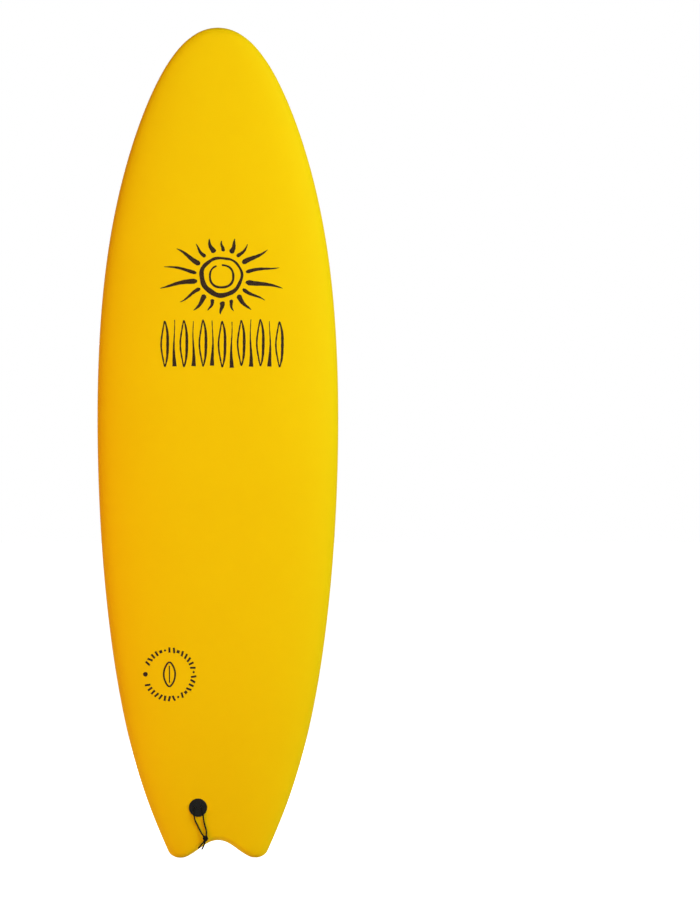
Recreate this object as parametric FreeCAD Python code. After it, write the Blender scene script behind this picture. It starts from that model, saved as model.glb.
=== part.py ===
import FreeCAD, Part
import math
import os

# Soft-top surfboard, swallow tail, three bolt-on fins.  Millimetres.
# Frame: the board stands on its tail.  +Z runs from the tail tips to the nose,
# +X to the rider's right, and the deck faces -Y, the bottom and fins +Y.
# z = 0 is the plane of the two tail tips; the origin is under the middle of
# the board's bounding box.

# ---------------------------------------------------------------- dimensions
LENGTH = 1829.0            # 6 ft 0 in
MAX_WIDTH = 533.4          # 21 in
MAX_THICKNESS = 76.2       # 3 in
FRAME_Y = 14.40            # bottom centreline at its lowest rocker point, so the box is centred in Y
NOSE_ROCKER = 112.0
NOSE_ROCKER_POWER = 2.35
TAIL_ROCKER = 44.0
TAIL_ROCKER_POWER = 2.2
ROCKER_FLAT_Z = 860.0      # station where the bottom is flat

# half width at each station
HALF_WIDTH = [(-14, 97.2), (0, 103.2), (25, 114.3), (60, 129.5), (110, 149.6), (170, 170.5),
              (240, 190.8), (330, 211.5), (430, 229.1), (540, 243.6), (660, 255.0), (790, 262.8),
              (920, 266.5), (1050, 265.9), (1180, 260.0), (1300, 248.4), (1410, 230.8), (1510, 207.7),
              (1590, 183.5), (1660, 157.1), (1715, 131.3), (1755, 107.6), (1782, 87.0), (1802, 66.8),
              (1815, 48.5), (1822.5, 33.3), (1826.5, 20.7), (1828.4, 10.4)]
# thickness on the centreline at each station
THICKNESS = [(-14, 26.0), (0, 28.0), (25, 32.0), (60, 38.2), (110, 46.0), (170, 53.0), (240, 59.0),
             (330, 64.8), (430, 69.2), (540, 72.6), (660, 75.0), (790, 76.1), (920, 76.2), (1050, 75.6),
             (1180, 73.6), (1300, 70.2), (1410, 65.0), (1510, 58.0), (1590, 50.6), (1660, 42.6),
             (1715, 35.6), (1755, 30.2), (1782, 26.2), (1802, 22.6), (1815, 18.8), (1822.5, 14.6),
             (1826.5, 9.6), (1828.4, 5.0)]
APEX = 0.44                # height of the rail's widest line, as a share of thickness above the bottom
DECK_DOME = 3.1            # deck crown exponent: larger is flatter
DECK_EDGE = 2.15           # deck roll-off exponent
BOTTOM_EDGE = 28.0         # horizontal reach of the bottom rail radius

# tail outline, right half: notch bottom out to the tip and round the corner
TAIL_EDGE = [(0, 38.3), (13, 36.4), (26, 30.4), (39, 21.6), (52, 12.2), (62, 6.0), (70, 2.0),
             (77, 0.3), (84, 0.0), (91, 0.7), (97, 2.7), (102.0, 5.6), (106.2, 9.4),
             (110.4, 15.7), (114.0, 22.1), (118.6, 30.2), (125.0, 41.4), (132.0, 53.6)]

SKIN = 5.0                 # deck and rail foam
SLICK = 2.0                # hard bottom sheet
LAMINATE = 6.0             # bottom sheet with the foam layer over it
# how far the bottom sheet's edge stands in from the outline
BAND = [(-14, 4.0), (0, 4.2), (60, 5.2), (110, 6.4), (170, 8.4), (300, 12.0), (436, 14.2), (635, 16.0),
        (900, 17.0), (1100, 16.6), (1300, 15.0), (1430, 13.0), (1560, 10.6), (1626, 8.8), (1692, 6.8),
        (1758, 5.2), (1800, 4.6), (1829, 4.2)]
TAIL_BAND = 4.2
CORE_NOSE_Z = 1819.5       # flat end of the foam core

STRINGER_X = 75.0          # stringer centre planes
STRINGER_T = 4.0

FIN_X = 160.0              # side fins: middle of the base plate
FIN_Z = 395.0
FIN_TOE = 1.8              # degrees, towards the nose centreline
FIN_CANT = 8.5             # degrees, outwards
FIN_PLATE = (158.0, 36.0)  # base plate length and width, round ends
CFIN_Z = 187.5
CFIN_PLATE = (146.0, 34.0)
PLATE_H = 3.6              # base plate above the bottom sheet
FIN_DEPTH = 118.0
FIN_CHORD = 115.0
FIN_ROOT_T = 6.6
FIN_FRONT = 30.0           # leading edge behind the plate's front end
# leading and trailing edge, (height, back from the leading root)
FIN_LE = [(0, 0.0), (12, 5.2), (30, 15.0), (50, 28.8), (70, 47.0), (88, 70.0), (102, 97.0), (111, 124.0), (116, 148.0), (118, 163.0)]
FIN_TE = [(0, 115.0), (12, 114.2), (30, 115.0), (50, 119.2), (70, 128.0), (88, 141.0), (102, 155.0), (111, 166.5), (116, 174.0), (118, 177.5)]

SCREW_R = 2.5
SCREW_HEAD_R = 3.9
SCREW_REACH = 19.0         # below the bottom's surface
INSERT_R = 4.0
BLOCK_D = 30.0             # fin mount block depth

PLUG_X = -44.0
PLUG_Z = 112.6
PLUG_DISC_R = 20.0
PLUG_DISC_H = 2.2
PLUG_BARREL_R = 12.0
PLUG_BASE_R = 18.5
PLUG_BASE_H = 2.6
STEM_R = 6.0
HOLE_PITCH = 15.0          # between the two string holes
HOLE_R = 2.0
STRING_R = 1.7
STRING_LIFT = 2.1          # hinge line of the loop above the plug's disc
KNOT_R = 5.9
CLEAR = 0.3                # between the loop and what it turns on

V = FreeCAD.Vector
os.makedirs("parts", exist_ok=True)


# ---------------------------------------------------------------- curves
class Spline:
    # natural cubic through (x, y) pairs
    def __init__(self, pts):
        self.x = [float(p[0]) for p in pts]
        self.y = [float(p[1]) for p in pts]
        n = len(pts)
        a = [0.0] * n
        c = [0.0] * n
        d = [0.0] * n
        b = [1.0] * n
        for i in range(1, n - 1):
            h0 = self.x[i] - self.x[i - 1]
            h1 = self.x[i + 1] - self.x[i]
            a[i] = h0
            b[i] = 2 * (h0 + h1)
            c[i] = h1
            d[i] = 6 * ((self.y[i + 1] - self.y[i]) / h1 - (self.y[i] - self.y[i - 1]) / h0)
        for i in range(1, n):
            w = a[i] / b[i - 1]
            b[i] -= w * c[i - 1]
            d[i] -= w * d[i - 1]
        m = [0.0] * n
        m[-1] = d[-1] / b[-1]
        for i in range(n - 2, -1, -1):
            m[i] = (d[i] - c[i] * m[i + 1]) / b[i]
        self.m = m

    def __call__(self, x):
        xs, ys, m = self.x, self.y, self.m
        x = min(max(x, xs[0]), xs[-1])
        i = 0
        while i < len(xs) - 2 and x > xs[i + 1]:
            i += 1
        h = xs[i + 1] - xs[i]
        a = (xs[i + 1] - x) / h
        b = (x - xs[i]) / h
        return a * ys[i] + b * ys[i + 1] + ((a ** 3 - a) * m[i] + (b ** 3 - b) * m[i + 1]) * h * h / 6


# width is smooth as its square over the distance to the nose
_g = Spline([(z, w * w / (LENGTH - z)) for z, w in HALF_WIDTH])
_t = Spline([(z, t * t / (LENGTH + 0.5 - z)) for z, t in THICKNESS if z > 1540])
_t_low = Spline([(z, t) for z, t in THICKNESS if z <= 1720])
_band = Spline(BAND)


def half_width(z):
    return math.sqrt(max(_g(z) * (LENGTH - z), 0.0))


def thickness(z):
    if z < 1590:
        return _t_low(z)
    hi = math.sqrt(_t(z) * (LENGTH + 0.5 - z))
    if z > 1660:
        return hi
    k = (z - 1590) / 70.0
    k = k * k * (3 - 2 * k)
    return (1 - k) * _t_low(z) + k * hi


def bottom_line(z):
    # bottom centreline: rocker bends nose and tail towards the deck
    if z >= ROCKER_FLAT_Z:
        r = NOSE_ROCKER * ((z - ROCKER_FLAT_Z) / (LENGTH - ROCKER_FLAT_Z)) ** NOSE_ROCKER_POWER
    else:
        r = TAIL_ROCKER * ((ROCKER_FLAT_Z - z) / ROCKER_FLAT_Z) ** TAIL_ROCKER_POWER
    return FRAME_Y - r


def edge_power(a):
    return max(2.1, math.log(0.06) / math.log(max(1.0 - BOTTOM_EDGE / a, 0.02))) if a > BOTTOM_EDGE * 1.02 else 2.1


def deck_y(x, z):
    a = half_width(z)
    t = thickness(z)
    s = min(abs(x) / a, 1.0)
    dome = DECK_DOME if a > 120 else 2.2 + (DECK_DOME - 2.2) * a / 120
    edge = DECK_EDGE if a > 120 else 2.0 + (DECK_EDGE - 2.0) * a / 120
    return bottom_line(z) - APEX * t - (1 - APEX) * t * (1 - s ** dome) ** (1 / edge)


def bottom_y(x, z):
    a = half_width(z)
    t = thickness(z)
    s = min(abs(x) / a, 1.0)
    return bottom_line(z) - APEX * t + APEX * t * math.sqrt(1 - s ** edge_power(a))


FRACTIONS = [0.0, 0.24, 0.44, 0.59, 0.71, 0.80, 0.87, 0.925, 0.968]   # of each quadrant's arc, towards the rail


def pick(arc, fracs):
    # points at the given fractions of a dense polyline's length
    acc = [0.0]
    for p, q in zip(arc, arc[1:]):
        acc.append(acc[-1] + math.hypot(q[0] - p[0], q[1] - p[1]))
    out = []
    j = 0
    for f in fracs:
        want = f * acc[-1]
        while j < len(acc) - 2 and acc[j + 1] < want:
            j += 1
        u = (want - acc[j]) / max(acc[j + 1] - acc[j], 1e-9)
        out.append((arc[j][0] + u * (arc[j + 1][0] - arc[j][0]), arc[j][1] + u * (arc[j + 1][1] - arc[j][1])))
    return out


def section(z, a, y_apex, up, down, dome, edge, n_bottom):
    # one closed cross-section at height z: half width a, deck height up, bottom height down
    dense_d, dense_b = [], []
    for i in range(241):
        f = math.pi / 2 * i / 240
        # deck, centre to apex
        s = math.sin(f) ** (2 / dome)
        dense_d.append((a * s, y_apex - up * max(1 - s ** dome, 0.0) ** (1 / edge)))
        s = math.sin(f) ** (2 / n_bottom)
        dense_b.append((a * s, y_apex + down * math.cos(f)))
    d = pick(dense_d, FRACTIONS + [1.0])
    b = pick(dense_b, FRACTIONS + [1.0])
    loop = []
    par = []
    n = len(FRACTIONS)
    for k in range(n):                      # deck centre to right rail
        loop.append(d[k]); par.append(FRACTIONS[k])
    loop.append(d[n]); par.append(1.0)
    for k in range(n - 1, -1, -1):          # right rail to bottom centre
        loop.append(b[k]); par.append(2.0 - FRACTIONS[k])
    for k in range(1, n):                   # bottom centre to left rail
        loop.append((-b[k][0], b[k][1])); par.append(2.0 + FRACTIONS[k])
    loop.append((-b[n][0], b[n][1])); par.append(3.0)
    for k in range(n - 1, 0, -1):           # left rail back to the deck centre
        loop.append((-d[k][0], d[k][1])); par.append(4.0 - FRACTIONS[k])
    par.append(4.0)
    c = Part.BSplineCurve()
    c.interpolate(Points=[V(x, y, z) for x, y in loop], PeriodicFlag=True, Parameters=par)
    return Part.Wire([c.toShape()])


def shape_powers(a):
    k = min(a / 120.0, 1.0)
    return 2.2 + (DECK_DOME - 2.2) * k, 2.0 + (DECK_EDGE - 2.0) * k


def outer_section(z):
    a = half_width(z)
    t = thickness(z)
    dome, edge = shape_powers(a)
    return section(z, a, bottom_line(z) - APEX * t, (1 - APEX) * t, APEX * t, dome, edge, edge_power(a))


def inset_outline(dist):
    # half width of the outline moved inwards by dist(z), as a table over z
    pts = []
    z = -14.0
    while z < LENGTH - 0.01:
        dz = 0.05
        s = (half_width(min(z + dz, LENGTH - 0.001)) - half_width(max(z - dz, -14.0))) / (min(z + dz, LENGTH - 0.001) - max(z - dz, -14.0))
        k = math.sqrt(1 + s * s)
        e = dist(z)
        pts.append((z + e * s / k, half_width(z) - e / k))
        rest = LENGTH - z
        z += min(6.0, max(rest * 0.04, 0.01))
    return [p for p in pts if p[1] > 0]


def lookup(table, z):
    for p, q in zip(table, table[1:]):
        if p[0] <= z <= q[0]:
            return p[1] + (q[1] - p[1]) * (z - p[0]) / max(q[0] - p[0], 1e-9)
    return table[0][1] if z < table[0][0] else table[-1][1]


def spline_edge(pts, y=0.0):
    c = Part.BSplineCurve()
    c.interpolate(Points=[V(p[0], y, p[1]) for p in pts])
    return c.toShape()


def line(p, q):
    return Part.LineSegment(V(*p), V(*q)).toShape()


Y0, Y1 = -230.0, 230.0


def tail_cutter(grow):
    # everything below the tail outline, moved up into the board by grow
    pts = [(-x, z) for x, z in TAIL_EDGE[:0:-1]] + TAIL_EDGE
    c = Part.BSplineCurve()
    c.interpolate(Points=[V(p[0], 0, p[1]) for p in pts])
    if grow:
        n = 60
        out = []
        for i in range(n + 1):
            u = c.FirstParameter + (c.LastParameter - c.FirstParameter) * i / n
            p = c.value(u)
            t = c.tangent(u)[0]
            out.append((p.x - t.z * grow, p.z + t.x * grow))
        pts = out
    e = spline_edge(pts, Y0)
    a, b = pts[0], pts[-1]
    w = Part.Wire([e, line((b[0], Y0, b[1]), (b[0], Y0, -80)), line((b[0], Y0, -80), (a[0], Y0, -80)), line((a[0], Y0, -80), (a[0], Y0, a[1]))])
    return Part.Face(w).extrude(V(0, Y1 - Y0, 0))


def biggest(shape):
    s = sorted(shape.Solids, key=lambda q: q.Volume)[-1]
    return s


def one(shape, name):
    # the single solid of a boolean result, dropping slivers
    sol = [s for s in shape.Solids if s.Volume > 1.0]
    if len(sol) != 1:
        print("note", name, "has", len(sol), "solids", [round(s.Volume) for s in sol])
    s = sorted(sol, key=lambda q: q.Volume)[-1]
    return s


parts = {}


def put(name, shape, group=False):
    s = Part.makeCompound([q for q in shape]) if group else shape
    parts[name] = s


# ---------------------------------------------------------------- board blank
stations = [z for z, _ in HALF_WIDTH]
outer = Part.makeLoft([outer_section(z) for z in stations], True, False, False, 5)
outer = outer.Solids[0]
board = one(outer.cut(tail_cutter(0.0)), "board")
print("board volume litres", round(board.Volume / 1e6, 2), "valid", board.isValid())

# ---------------------------------------------------------------- bottom laminate
edge = inset_outline(lambda z: _band(z))
edge_nose = LENGTH - _band(LENGTH)
pick_z = [-14, 20, 60, 110, 170, 240, 330, 430, 540, 660, 790, 920, 1050, 1180, 1300, 1410, 1500, 1580, 1650, 1705, 1748, 1778, 1799, 1812, 1819.5, 1823]
side = [(lookup(edge, z), z) for z in pick_z]
loop = side + [(0.0, edge_nose)] + [(-x, z) for x, z in side[::-1]]
w = Part.Wire([spline_edge(loop, Y0), line((loop[-1][0], Y0, loop[-1][1]), (loop[0][0], Y0, loop[0][1]))])
sheet_prism = Part.Face(w).extrude(V(0, Y1 - Y0, 0))
sheet_prism = one(sheet_prism.cut(tail_cutter(TAIL_BAND)), "sheet prism")


def under(depth):
    # the space under the bottom, from depth inside it, within the sheet's outline
    up = outer.copy()
    up.translate(V(0, -depth, 0))
    got = sheet_prism.cut(up).Solids
    return sorted([s for s in got if s.Volume > 1000], key=lambda s: s.CenterOfMass.y)[-1]


under_slick = under(SLICK)
under_laminate = under(LAMINATE)
slick = one(board.common(under_slick), "slick")
laminate = one(board.common(under_laminate), "laminate")
bottom_foam = one(laminate.cut(under_slick), "bottom foam")
rest = one(board.cut(under_laminate), "rest")

# ---------------------------------------------------------------- deck skin and core
inner = inset_outline(lambda z: SKIN)


def core_section(z):
    a = lookup(inner, z)
    t = thickness(z) - 2 * SKIN
    dome, edge_p = shape_powers(a)
    y = bottom_line(z) - SKIN
    return section(z, a, y - APEX * t, (1 - APEX) * t, APEX * t, dome, edge_p, edge_power(a))


core_z = [z for z in stations if z < 1800] + [1803, 1812, CORE_NOSE_Z]
core_env = Part.makeLoft([core_section(z) for z in core_z], True, False, False, 5).Solids[0]
core_env = one(core_env.cut(tail_cutter(SKIN)), "core envelope")
deck_skin = one(rest.cut(core_env), "deck skin")
core = one(rest.common(core_env), "core")
print("skin", deck_skin.isValid(), "core", core.isValid(), round(core.Volume / 1e6, 2))


def slab(x0, x1):
    return Part.makeBox(x1 - x0, 600, LENGTH + 200, V(x0, -300, -100))


h = STRINGER_T / 2
core_left = one(core.common(slab(-400, -STRINGER_X - h)), "core left")
stringer_left = one(core.common(slab(-STRINGER_X - h, -STRINGER_X + h)), "stringer left")
core_centre = one(core.common(slab(-STRINGER_X + h, STRINGER_X - h)), "core centre")
stringer_right = one(core.common(slab(STRINGER_X - h, STRINGER_X + h)), "stringer right")
core_right = one(core.common(slab(STRINGER_X + h, 400)), "core right")


# ---------------------------------------------------------------- fins
def hull_frame(x, z, toe):
    # local frame on the bottom: X sideways, Y out of the bottom, Z to the nose
    p = V(x, bottom_y(x, z), z)
    d = 12.0
    tz = V(0, bottom_y(x, z + d) - bottom_y(x, z - d), 2 * d).normalize()
    tx = V(2 * d, bottom_y(x + d, z) - bottom_y(x - d, z), 0).normalize()
    n = tz.cross(tx).normalize()
    if n.y < 0:
        n = n * -1
    lng = (tz - n * tz.dot(n)).normalize()
    lat = n.cross(lng).normalize()
    r = math.radians(toe)
    lng2 = lng * math.cos(r) + lat * math.sin(r)
    lat2 = n.cross(lng2).normalize()
    m = FreeCAD.Matrix(lat2.x, n.x, lng2.x, p.x, lat2.y, n.y, lng2.y, p.y, lat2.z, n.z, lng2.z, p.z, 0, 0, 0, 1)
    return FreeCAD.Placement(m)


def capsule(length, width, y0, y1, fillet=0.0):
    r = width / 2
    s = length / 2 - r
    pts = [V(-r, y0, -s), V(-r, y0, s), V(0, y0, s + r), V(r, y0, s), V(r, y0, -s), V(0, y0, -s - r)]
    w = Part.Wire([Part.LineSegment(pts[0], pts[1]).toShape(), Part.Arc(pts[1], pts[2], pts[3]).toShape(),
                   Part.LineSegment(pts[3], pts[4]).toShape(), Part.Arc(pts[4], pts[5], pts[0]).toShape()])
    s = Part.Face(w).extrude(V(0, y1 - y0, 0))
    if fillet:
        top = [e for e in s.Edges if abs(e.BoundBox.YMin - y1) < 1e-6 and abs(e.BoundBox.YMax - y1) < 1e-6]
        s = s.makeFillet(fillet, top)
    return s


FOIL = [0.0, 0.012, 0.05, 0.12, 0.22, 0.35, 0.5, 0.65, 0.8, 0.92, 1.0]


def foil_wire(h, front, cant, base):
    # one foil section at height h above the bottom, canted outwards
    le = Spline(FIN_LE)(h)
    te = Spline(FIN_TE)(h)
    chord = te - le
    k = h / FIN_DEPTH
    thick = max(FIN_ROOT_T * (1 - 0.55 * k), 1.8) * min(1.0, chord / 26.0)
    pts, par = [], []
    up, low = [], []
    for s in FOIL:
        y = 5 * (0.2969 * math.sqrt(s) - 0.126 * s - 0.3516 * s * s + 0.2843 * s ** 3 - 0.1015 * s ** 4) * thick
        y = y + 0.42 * min(s / 0.35, 1.0) * min(1.0, thick / 2)
        up.append((y, front - le - chord * s))
        low.append((-y, front - le - chord * s))
    ring = up + [(0.0, front - te - 0.35)] + low[:0:-1]
    c, sn = math.cos(cant), math.sin(cant)
    hh = h - base
    out = [V(x * c + hh * sn, base + hh * c - x * sn, z) for x, z in ring]
    n = len(FOIL)
    par = [math.sqrt(s) for s in FOIL]
    par = par + [1.04] + [2.08 - p for p in par[:0:-1]] + [2.08]
    bs = Part.BSplineCurve()
    bs.interpolate(Points=out, PeriodicFlag=True, Parameters=par)
    return Part.Wire([bs.toShape()])


def make_fin(plate, cant_deg, place, screws):
    lp, wp = plate
    body = capsule(lp, wp, -7.0, PLATE_H, 1.4)
    front = lp / 2 - FIN_FRONT
    cant = math.radians(cant_deg)
    hs = [1.2, 12, 30, 50, 70, 88, 102, 111, 115.5, 117.4]
    blade = Part.makeLoft([foil_wire(q, front, cant, 1.2) for q in hs], True, False, False, 5).Solids[0]
    fin = body.fuse(blade)
    for x, z in screws:
        fin = fin.cut(Part.makeCylinder(SCREW_R + 0.2, 14, V(x, -9, z), V(0, 1, 0)))
        fin = fin.cut(Part.makeCone(SCREW_R + 0.2, SCREW_HEAD_R + 0.12, 2.0, V(x, PLATE_H - 2.3, z), V(0, 1, 0)))
        fin = fin.cut(Part.makeCylinder(SCREW_HEAD_R + 0.12, 1, V(x, PLATE_H - 0.3, z), V(0, 1, 0)))
    fin.Placement = place
    fin = fin.cut(outer)
    return one(fin, "fin")


def make_screw(x, z):
    s = Part.makeCylinder(SCREW_R, SCREW_REACH + PLATE_H - 2.3, V(x, -SCREW_REACH, z), V(0, 1, 0))
    s = s.fuse(Part.makeCone(SCREW_R, SCREW_HEAD_R, 1.9, V(x, PLATE_H - 2.3, z), V(0, 1, 0)))
    top = PLATE_H - 0.4
    s = s.cut(Part.makeBox(4.4, 2.0, 1.1, V(x - 2.2, top - 1.1, z - 0.55)))
    s = s.cut(Part.makeBox(1.1, 2.0, 4.4, V(x - 0.55, top - 1.1, z - 2.2)))
    return s.removeSplitter()


def make_insert(x, z):
    s = Part.makeCylinder(INSERT_R, 14, V(x, -17, z), V(0, 1, 0))
    return s.cut(Part.makeCylinder(SCREW_R, 16, V(x, -18, z), V(0, 1, 0)))


fins = [
    ("left", -FIN_X, FIN_Z, FIN_TOE, -FIN_CANT, FIN_PLATE, [(8.0, 26.0), (8.0, -28.0)]),
    ("right", FIN_X, FIN_Z, -FIN_TOE, FIN_CANT, FIN_PLATE, [(-8.0, 26.0), (-8.0, -28.0)]),
    ("centre", 0.0, CFIN_Z, 0.0, 0.0, CFIN_PLATE, [(-8.4, 25.0), (8.4, -28.0)]),
]
cores = {"left": core_left, "right": core_right, "centre": core_centre}
for name, x, z, toe, cant, plate, screws in fins:
    pl = hull_frame(x, z, toe)
    fin = make_fin(plate, cant, pl, screws)
    put("fin_" + name, fin)
    tool = capsule(plate[0] - 22, plate[1] - 8, -BLOCK_D, 12.0)
    tool.Placement = pl
    block = one(board.common(tool).cut(under_slick), "block")
    shanks, heads, ins = [], [], []
    for sx, sz in screws:
        hole = Part.makeCylinder(INSERT_R, 20, V(sx, -17, sz), V(0, 1, 0))
        tip = Part.makeCylinder(SCREW_R + 0.2, 6, V(sx, -22, sz), V(0, 1, 0))
        through = Part.makeCylinder(SCREW_R + 0.2, 40, V(sx, -20, sz), V(0, 1, 0))
        for q in (hole, tip, through):
            q.Placement = pl
        block = block.cut(hole).cut(tip)
        slick = slick.cut(through)
        a, b = make_screw(sx, sz), make_insert(sx, sz)
        a.Placement = pl
        b.Placement = pl
        heads.append(a.Solids[0])
        ins.append(b.Solids[0])
    put("fin_mount_" + name, one(block, "block"))
    put("fin_screws_" + name, heads, True)
    put("fin_inserts_" + name, ins, True)
    bottom_foam = bottom_foam.cut(tool)
    cores[name] = cores[name].cut(tool)

# ---------------------------------------------------------------- leash plug
top = V(PLUG_X, deck_y(PLUG_X, PLUG_Z), PLUG_Z)
low = V(PLUG_X, bottom_y(PLUG_X, PLUG_Z), PLUG_Z)
d = 12.0
slope_top = (deck_y(PLUG_X, PLUG_Z + d) - deck_y(PLUG_X, PLUG_Z - d)) / (2 * d)
slope_low = (bottom_y(PLUG_X, PLUG_Z + d) - bottom_y(PLUG_X, PLUG_Z - d)) / (2 * d)
s = (slope_top + slope_low) / 2
out = V(0, -1, s).normalize()              # out of the deck
lat = V(1, 0, 0)
lng = V(0, s, 1).normalize()               # towards the nose
print("plug axis tilt deg", round(math.degrees(math.atan(s)), 2), "top", top, "low", low, "thickness", round(low.y - top.y, 2))
reach = (low - top).dot(out * -1)          # board thickness along the plug's axis


def at(u, v, hgt):
    return top + lat * u + lng * v + out * hgt


disc = Part.makeCylinder(PLUG_DISC_R, PLUG_DISC_H + 6, at(0, 0, -6), out)
rim = [e for e in disc.Edges if isinstance(e.Curve, Part.Circle) and (e.Curve.Center - at(0, 0, PLUG_DISC_H)).Length < 1e-3]
disc = disc.makeFillet(0.9, rim).cut(outer)
barrel = Part.makeCylinder(PLUG_BARREL_R, reach - 3.2, at(0, 0, 0.0), out * -1)
barrel = barrel.fuse(Part.makeCylinder(PLUG_BARREL_R, 1.2, at(0, 0, 0.0), out))
plug = disc.fuse(barrel)
plug = plug.cut(Part.makeCylinder(STEM_R, 40, at(0, 0, -24), out * -1))


def string_path(lift):
    hp = HOLE_PITCH / 2
    r = hp
    a, b = at(-hp, 0, lift), at(-hp, 0, -6)
    c, e, f = at(0, 0, -6 - r), at(hp, 0, -6), at(hp, 0, lift)
    return Part.Wire([Part.LineSegment(a, b).toShape(), Part.Arc(b, c, e).toShape(), Part.LineSegment(e, f).toShape()])


def pipe(wire, start, direction, r):
    ring = Part.Wire([Part.Circle(start, direction, r).toShape()])
    return wire.makePipeShell([ring], True, False)


lift = PLUG_DISC_H + STRING_LIFT
channel = pipe(string_path(lift + 4), at(-HOLE_PITCH / 2, 0, lift + 4), out, HOLE_R)
plug = one(plug.cut(channel), "plug")
def leg(side):
    # straight leg of the string inside its hole, with a rounded end on the hinge line
    c = Part.makeCylinder(STRING_R, 6 + lift + 1.4, at(side * HOLE_PITCH / 2, 0, -6), out)
    tip = [e for e in c.Edges if isinstance(e.Curve, Part.Circle) and (e.Curve.Center - at(side * HOLE_PITCH / 2, 0, lift + 1.4)).Length < 1e-3]
    return c.makeFillet(1.38, tip)


bend_w = Part.Wire([Part.Arc(at(-HOLE_PITCH / 2, 0, -6), at(0, 0, -6 - HOLE_PITCH / 2), at(HOLE_PITCH / 2, 0, -6)).toShape()])
bend = pipe(bend_w, at(-HOLE_PITCH / 2, 0, -6), out, STRING_R)
anchor = bend.fuse(leg(-1)).fuse(leg(1))
put("string_anchor", one(anchor, "anchor"))
put("leash_plug_deck", plug)

base = Part.makeCylinder(PLUG_BASE_R, PLUG_BASE_H + 8, at(0, 0, -reach + 8), out * -1)
rim = [e for e in base.Edges if isinstance(e.Curve, Part.Circle) and (e.Curve.Center - at(0, 0, -reach - PLUG_BASE_H)).Length < 1e-3]
base = base.makeFillet(1.0, rim).cut(outer)
# coin slot across the disc, turned 40 degrees
slot = Part.makeBox(16, 3, 2.6, V(-8, -1.5, -1.3))
slot.Placement = FreeCAD.Placement(FreeCAD.Matrix(lat.x, out.x, lng.x, 0, lat.y, out.y, lng.y, 0, lat.z, out.z, lng.z, 0, 0, 0, 0, 1))
slot.rotate(V(0, 0, 0), out, 40)
slot.translate(at(0, 0, -reach - PLUG_BASE_H))
base = base.cut(slot)
stem = Part.makeCylinder(STEM_R, reach - 24.0 - 2.0 + 1.0, at(0, 0, -reach - 1.0), out)
base = one(base.fuse(stem), "plug base")
put("leash_plug_base", base)

bore = Part.makeCylinder(PLUG_BARREL_R, reach + 60, at(0, 0, 30), out * -1)
deck_skin = one(deck_skin.cut(bore), "deck skin")
bottom_foam = one(bottom_foam.cut(bore), "bottom foam")
slick = one(slick.cut(bore), "slick")
cores["centre"] = cores["centre"].cut(bore)

for name in ("left", "centre", "right"):
    put("core_" + name, one(cores[name], "core " + name))
put("stringer_left", stringer_left)
put("stringer_right", stringer_right)
put("deck_skin", deck_skin)
put("bottom_foam", bottom_foam)
put("slick_sheet", slick)

# ---------------------------------------------------------------- leash string
# Route points (x, z, height of the string's centre above the deck).  Each
# strand leaves its hole, hangs down the deck and runs into the knot; the two
# tails hang from the knot over the notch.


def route(points):
    return [V(x, deck_y(x, max(z, 47.0)) - hgt, z) for x, z, hgt in points]


hinge = at(0, 0, lift)
hl = at(-HOLE_PITCH / 2, 0, lift)
hr = at(HOLE_PITCH / 2, 0, lift)
STRAND_A = [(-52.9, 102.6, 5.4), (-52.4, 92.6, 6.0), (-49.6, 82.4, 3.4), (-44.9, 73.0, 2.6), (-40.3, 63.6, 3.1), (-35.6, 54.9, 4.5), (-30.0, 47.4, 6.2)]
STRAND_B = [(-34.3, 103.2, 5.3), (-32.6, 94.4, 5.4), (-31.5, 84.0, 3.2), (-29.1, 73.8, 2.6), (-26.4, 64.2, 3.1), (-25.4, 54.6, 4.6), (-26.4, 46.6, 6.2)]
TAIL_A = [(-28.4, 42.6, 6.2), (-32.6, 35.6, 5.4), (-37.9, 29.4, 4.6), (-42.3, 23.6, 4.2)]
TAIL_B = [(-27.4, 42.0, 6.8), (-29.3, 34.6, 6.6), (-32.0, 27.6, 6.0), (-35.2, 21.4, 5.6)]
KNOT = (-27.6, 44.6, 7.2)


def cord(points, r, name):
    # straight runs joined by tangent arcs
    edges = []
    n = len(points)
    cur = points[0]
    radii = []
    for i in range(1, n - 1):
        p, a, b = points[i], points[i - 1], points[i + 1]
        la, lb = (p - a).Length, (b - p).Length
        da, db = (p - a).normalize(), (b - p).normalize()
        turn = da.getAngle(db)
        cut = 0.45 * min(la, lb)
        rad = cut / math.tan(turn / 2)
        radii.append(round(rad, 1))
        s1, s2 = p - da * cut, p + db * cut
        mid_dir = (db - da).normalize()
        centre = p + mid_dir * (rad / math.cos(turn / 2))
        mid = centre - mid_dir * rad
        edges.append(Part.LineSegment(cur, s1).toShape())
        edges.append(Part.Arc(s1, mid, s2).toShape())
        cur = s2
    edges.append(Part.LineSegment(cur, points[-1]).toShape())
    w = Part.Wire(edges)
    ring = Part.Wire([Part.Circle(points[0], (points[1] - points[0]).normalize(), r).toShape()])
    tube = w.makePipeShell([ring], True, False)
    want = math.pi * r * r * w.Length
    print("cord", name, "radii", radii, "length", round(w.Length, 2), "volume ratio", round(tube.Volume / want, 4), "valid", tube.isValid())
    return tube


def from_hinge(p0, nxt):
    # first point just clear of the ball on the hinge line
    d = (nxt - p0).normalize()
    return p0 + d * (STRING_R + CLEAR)


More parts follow.
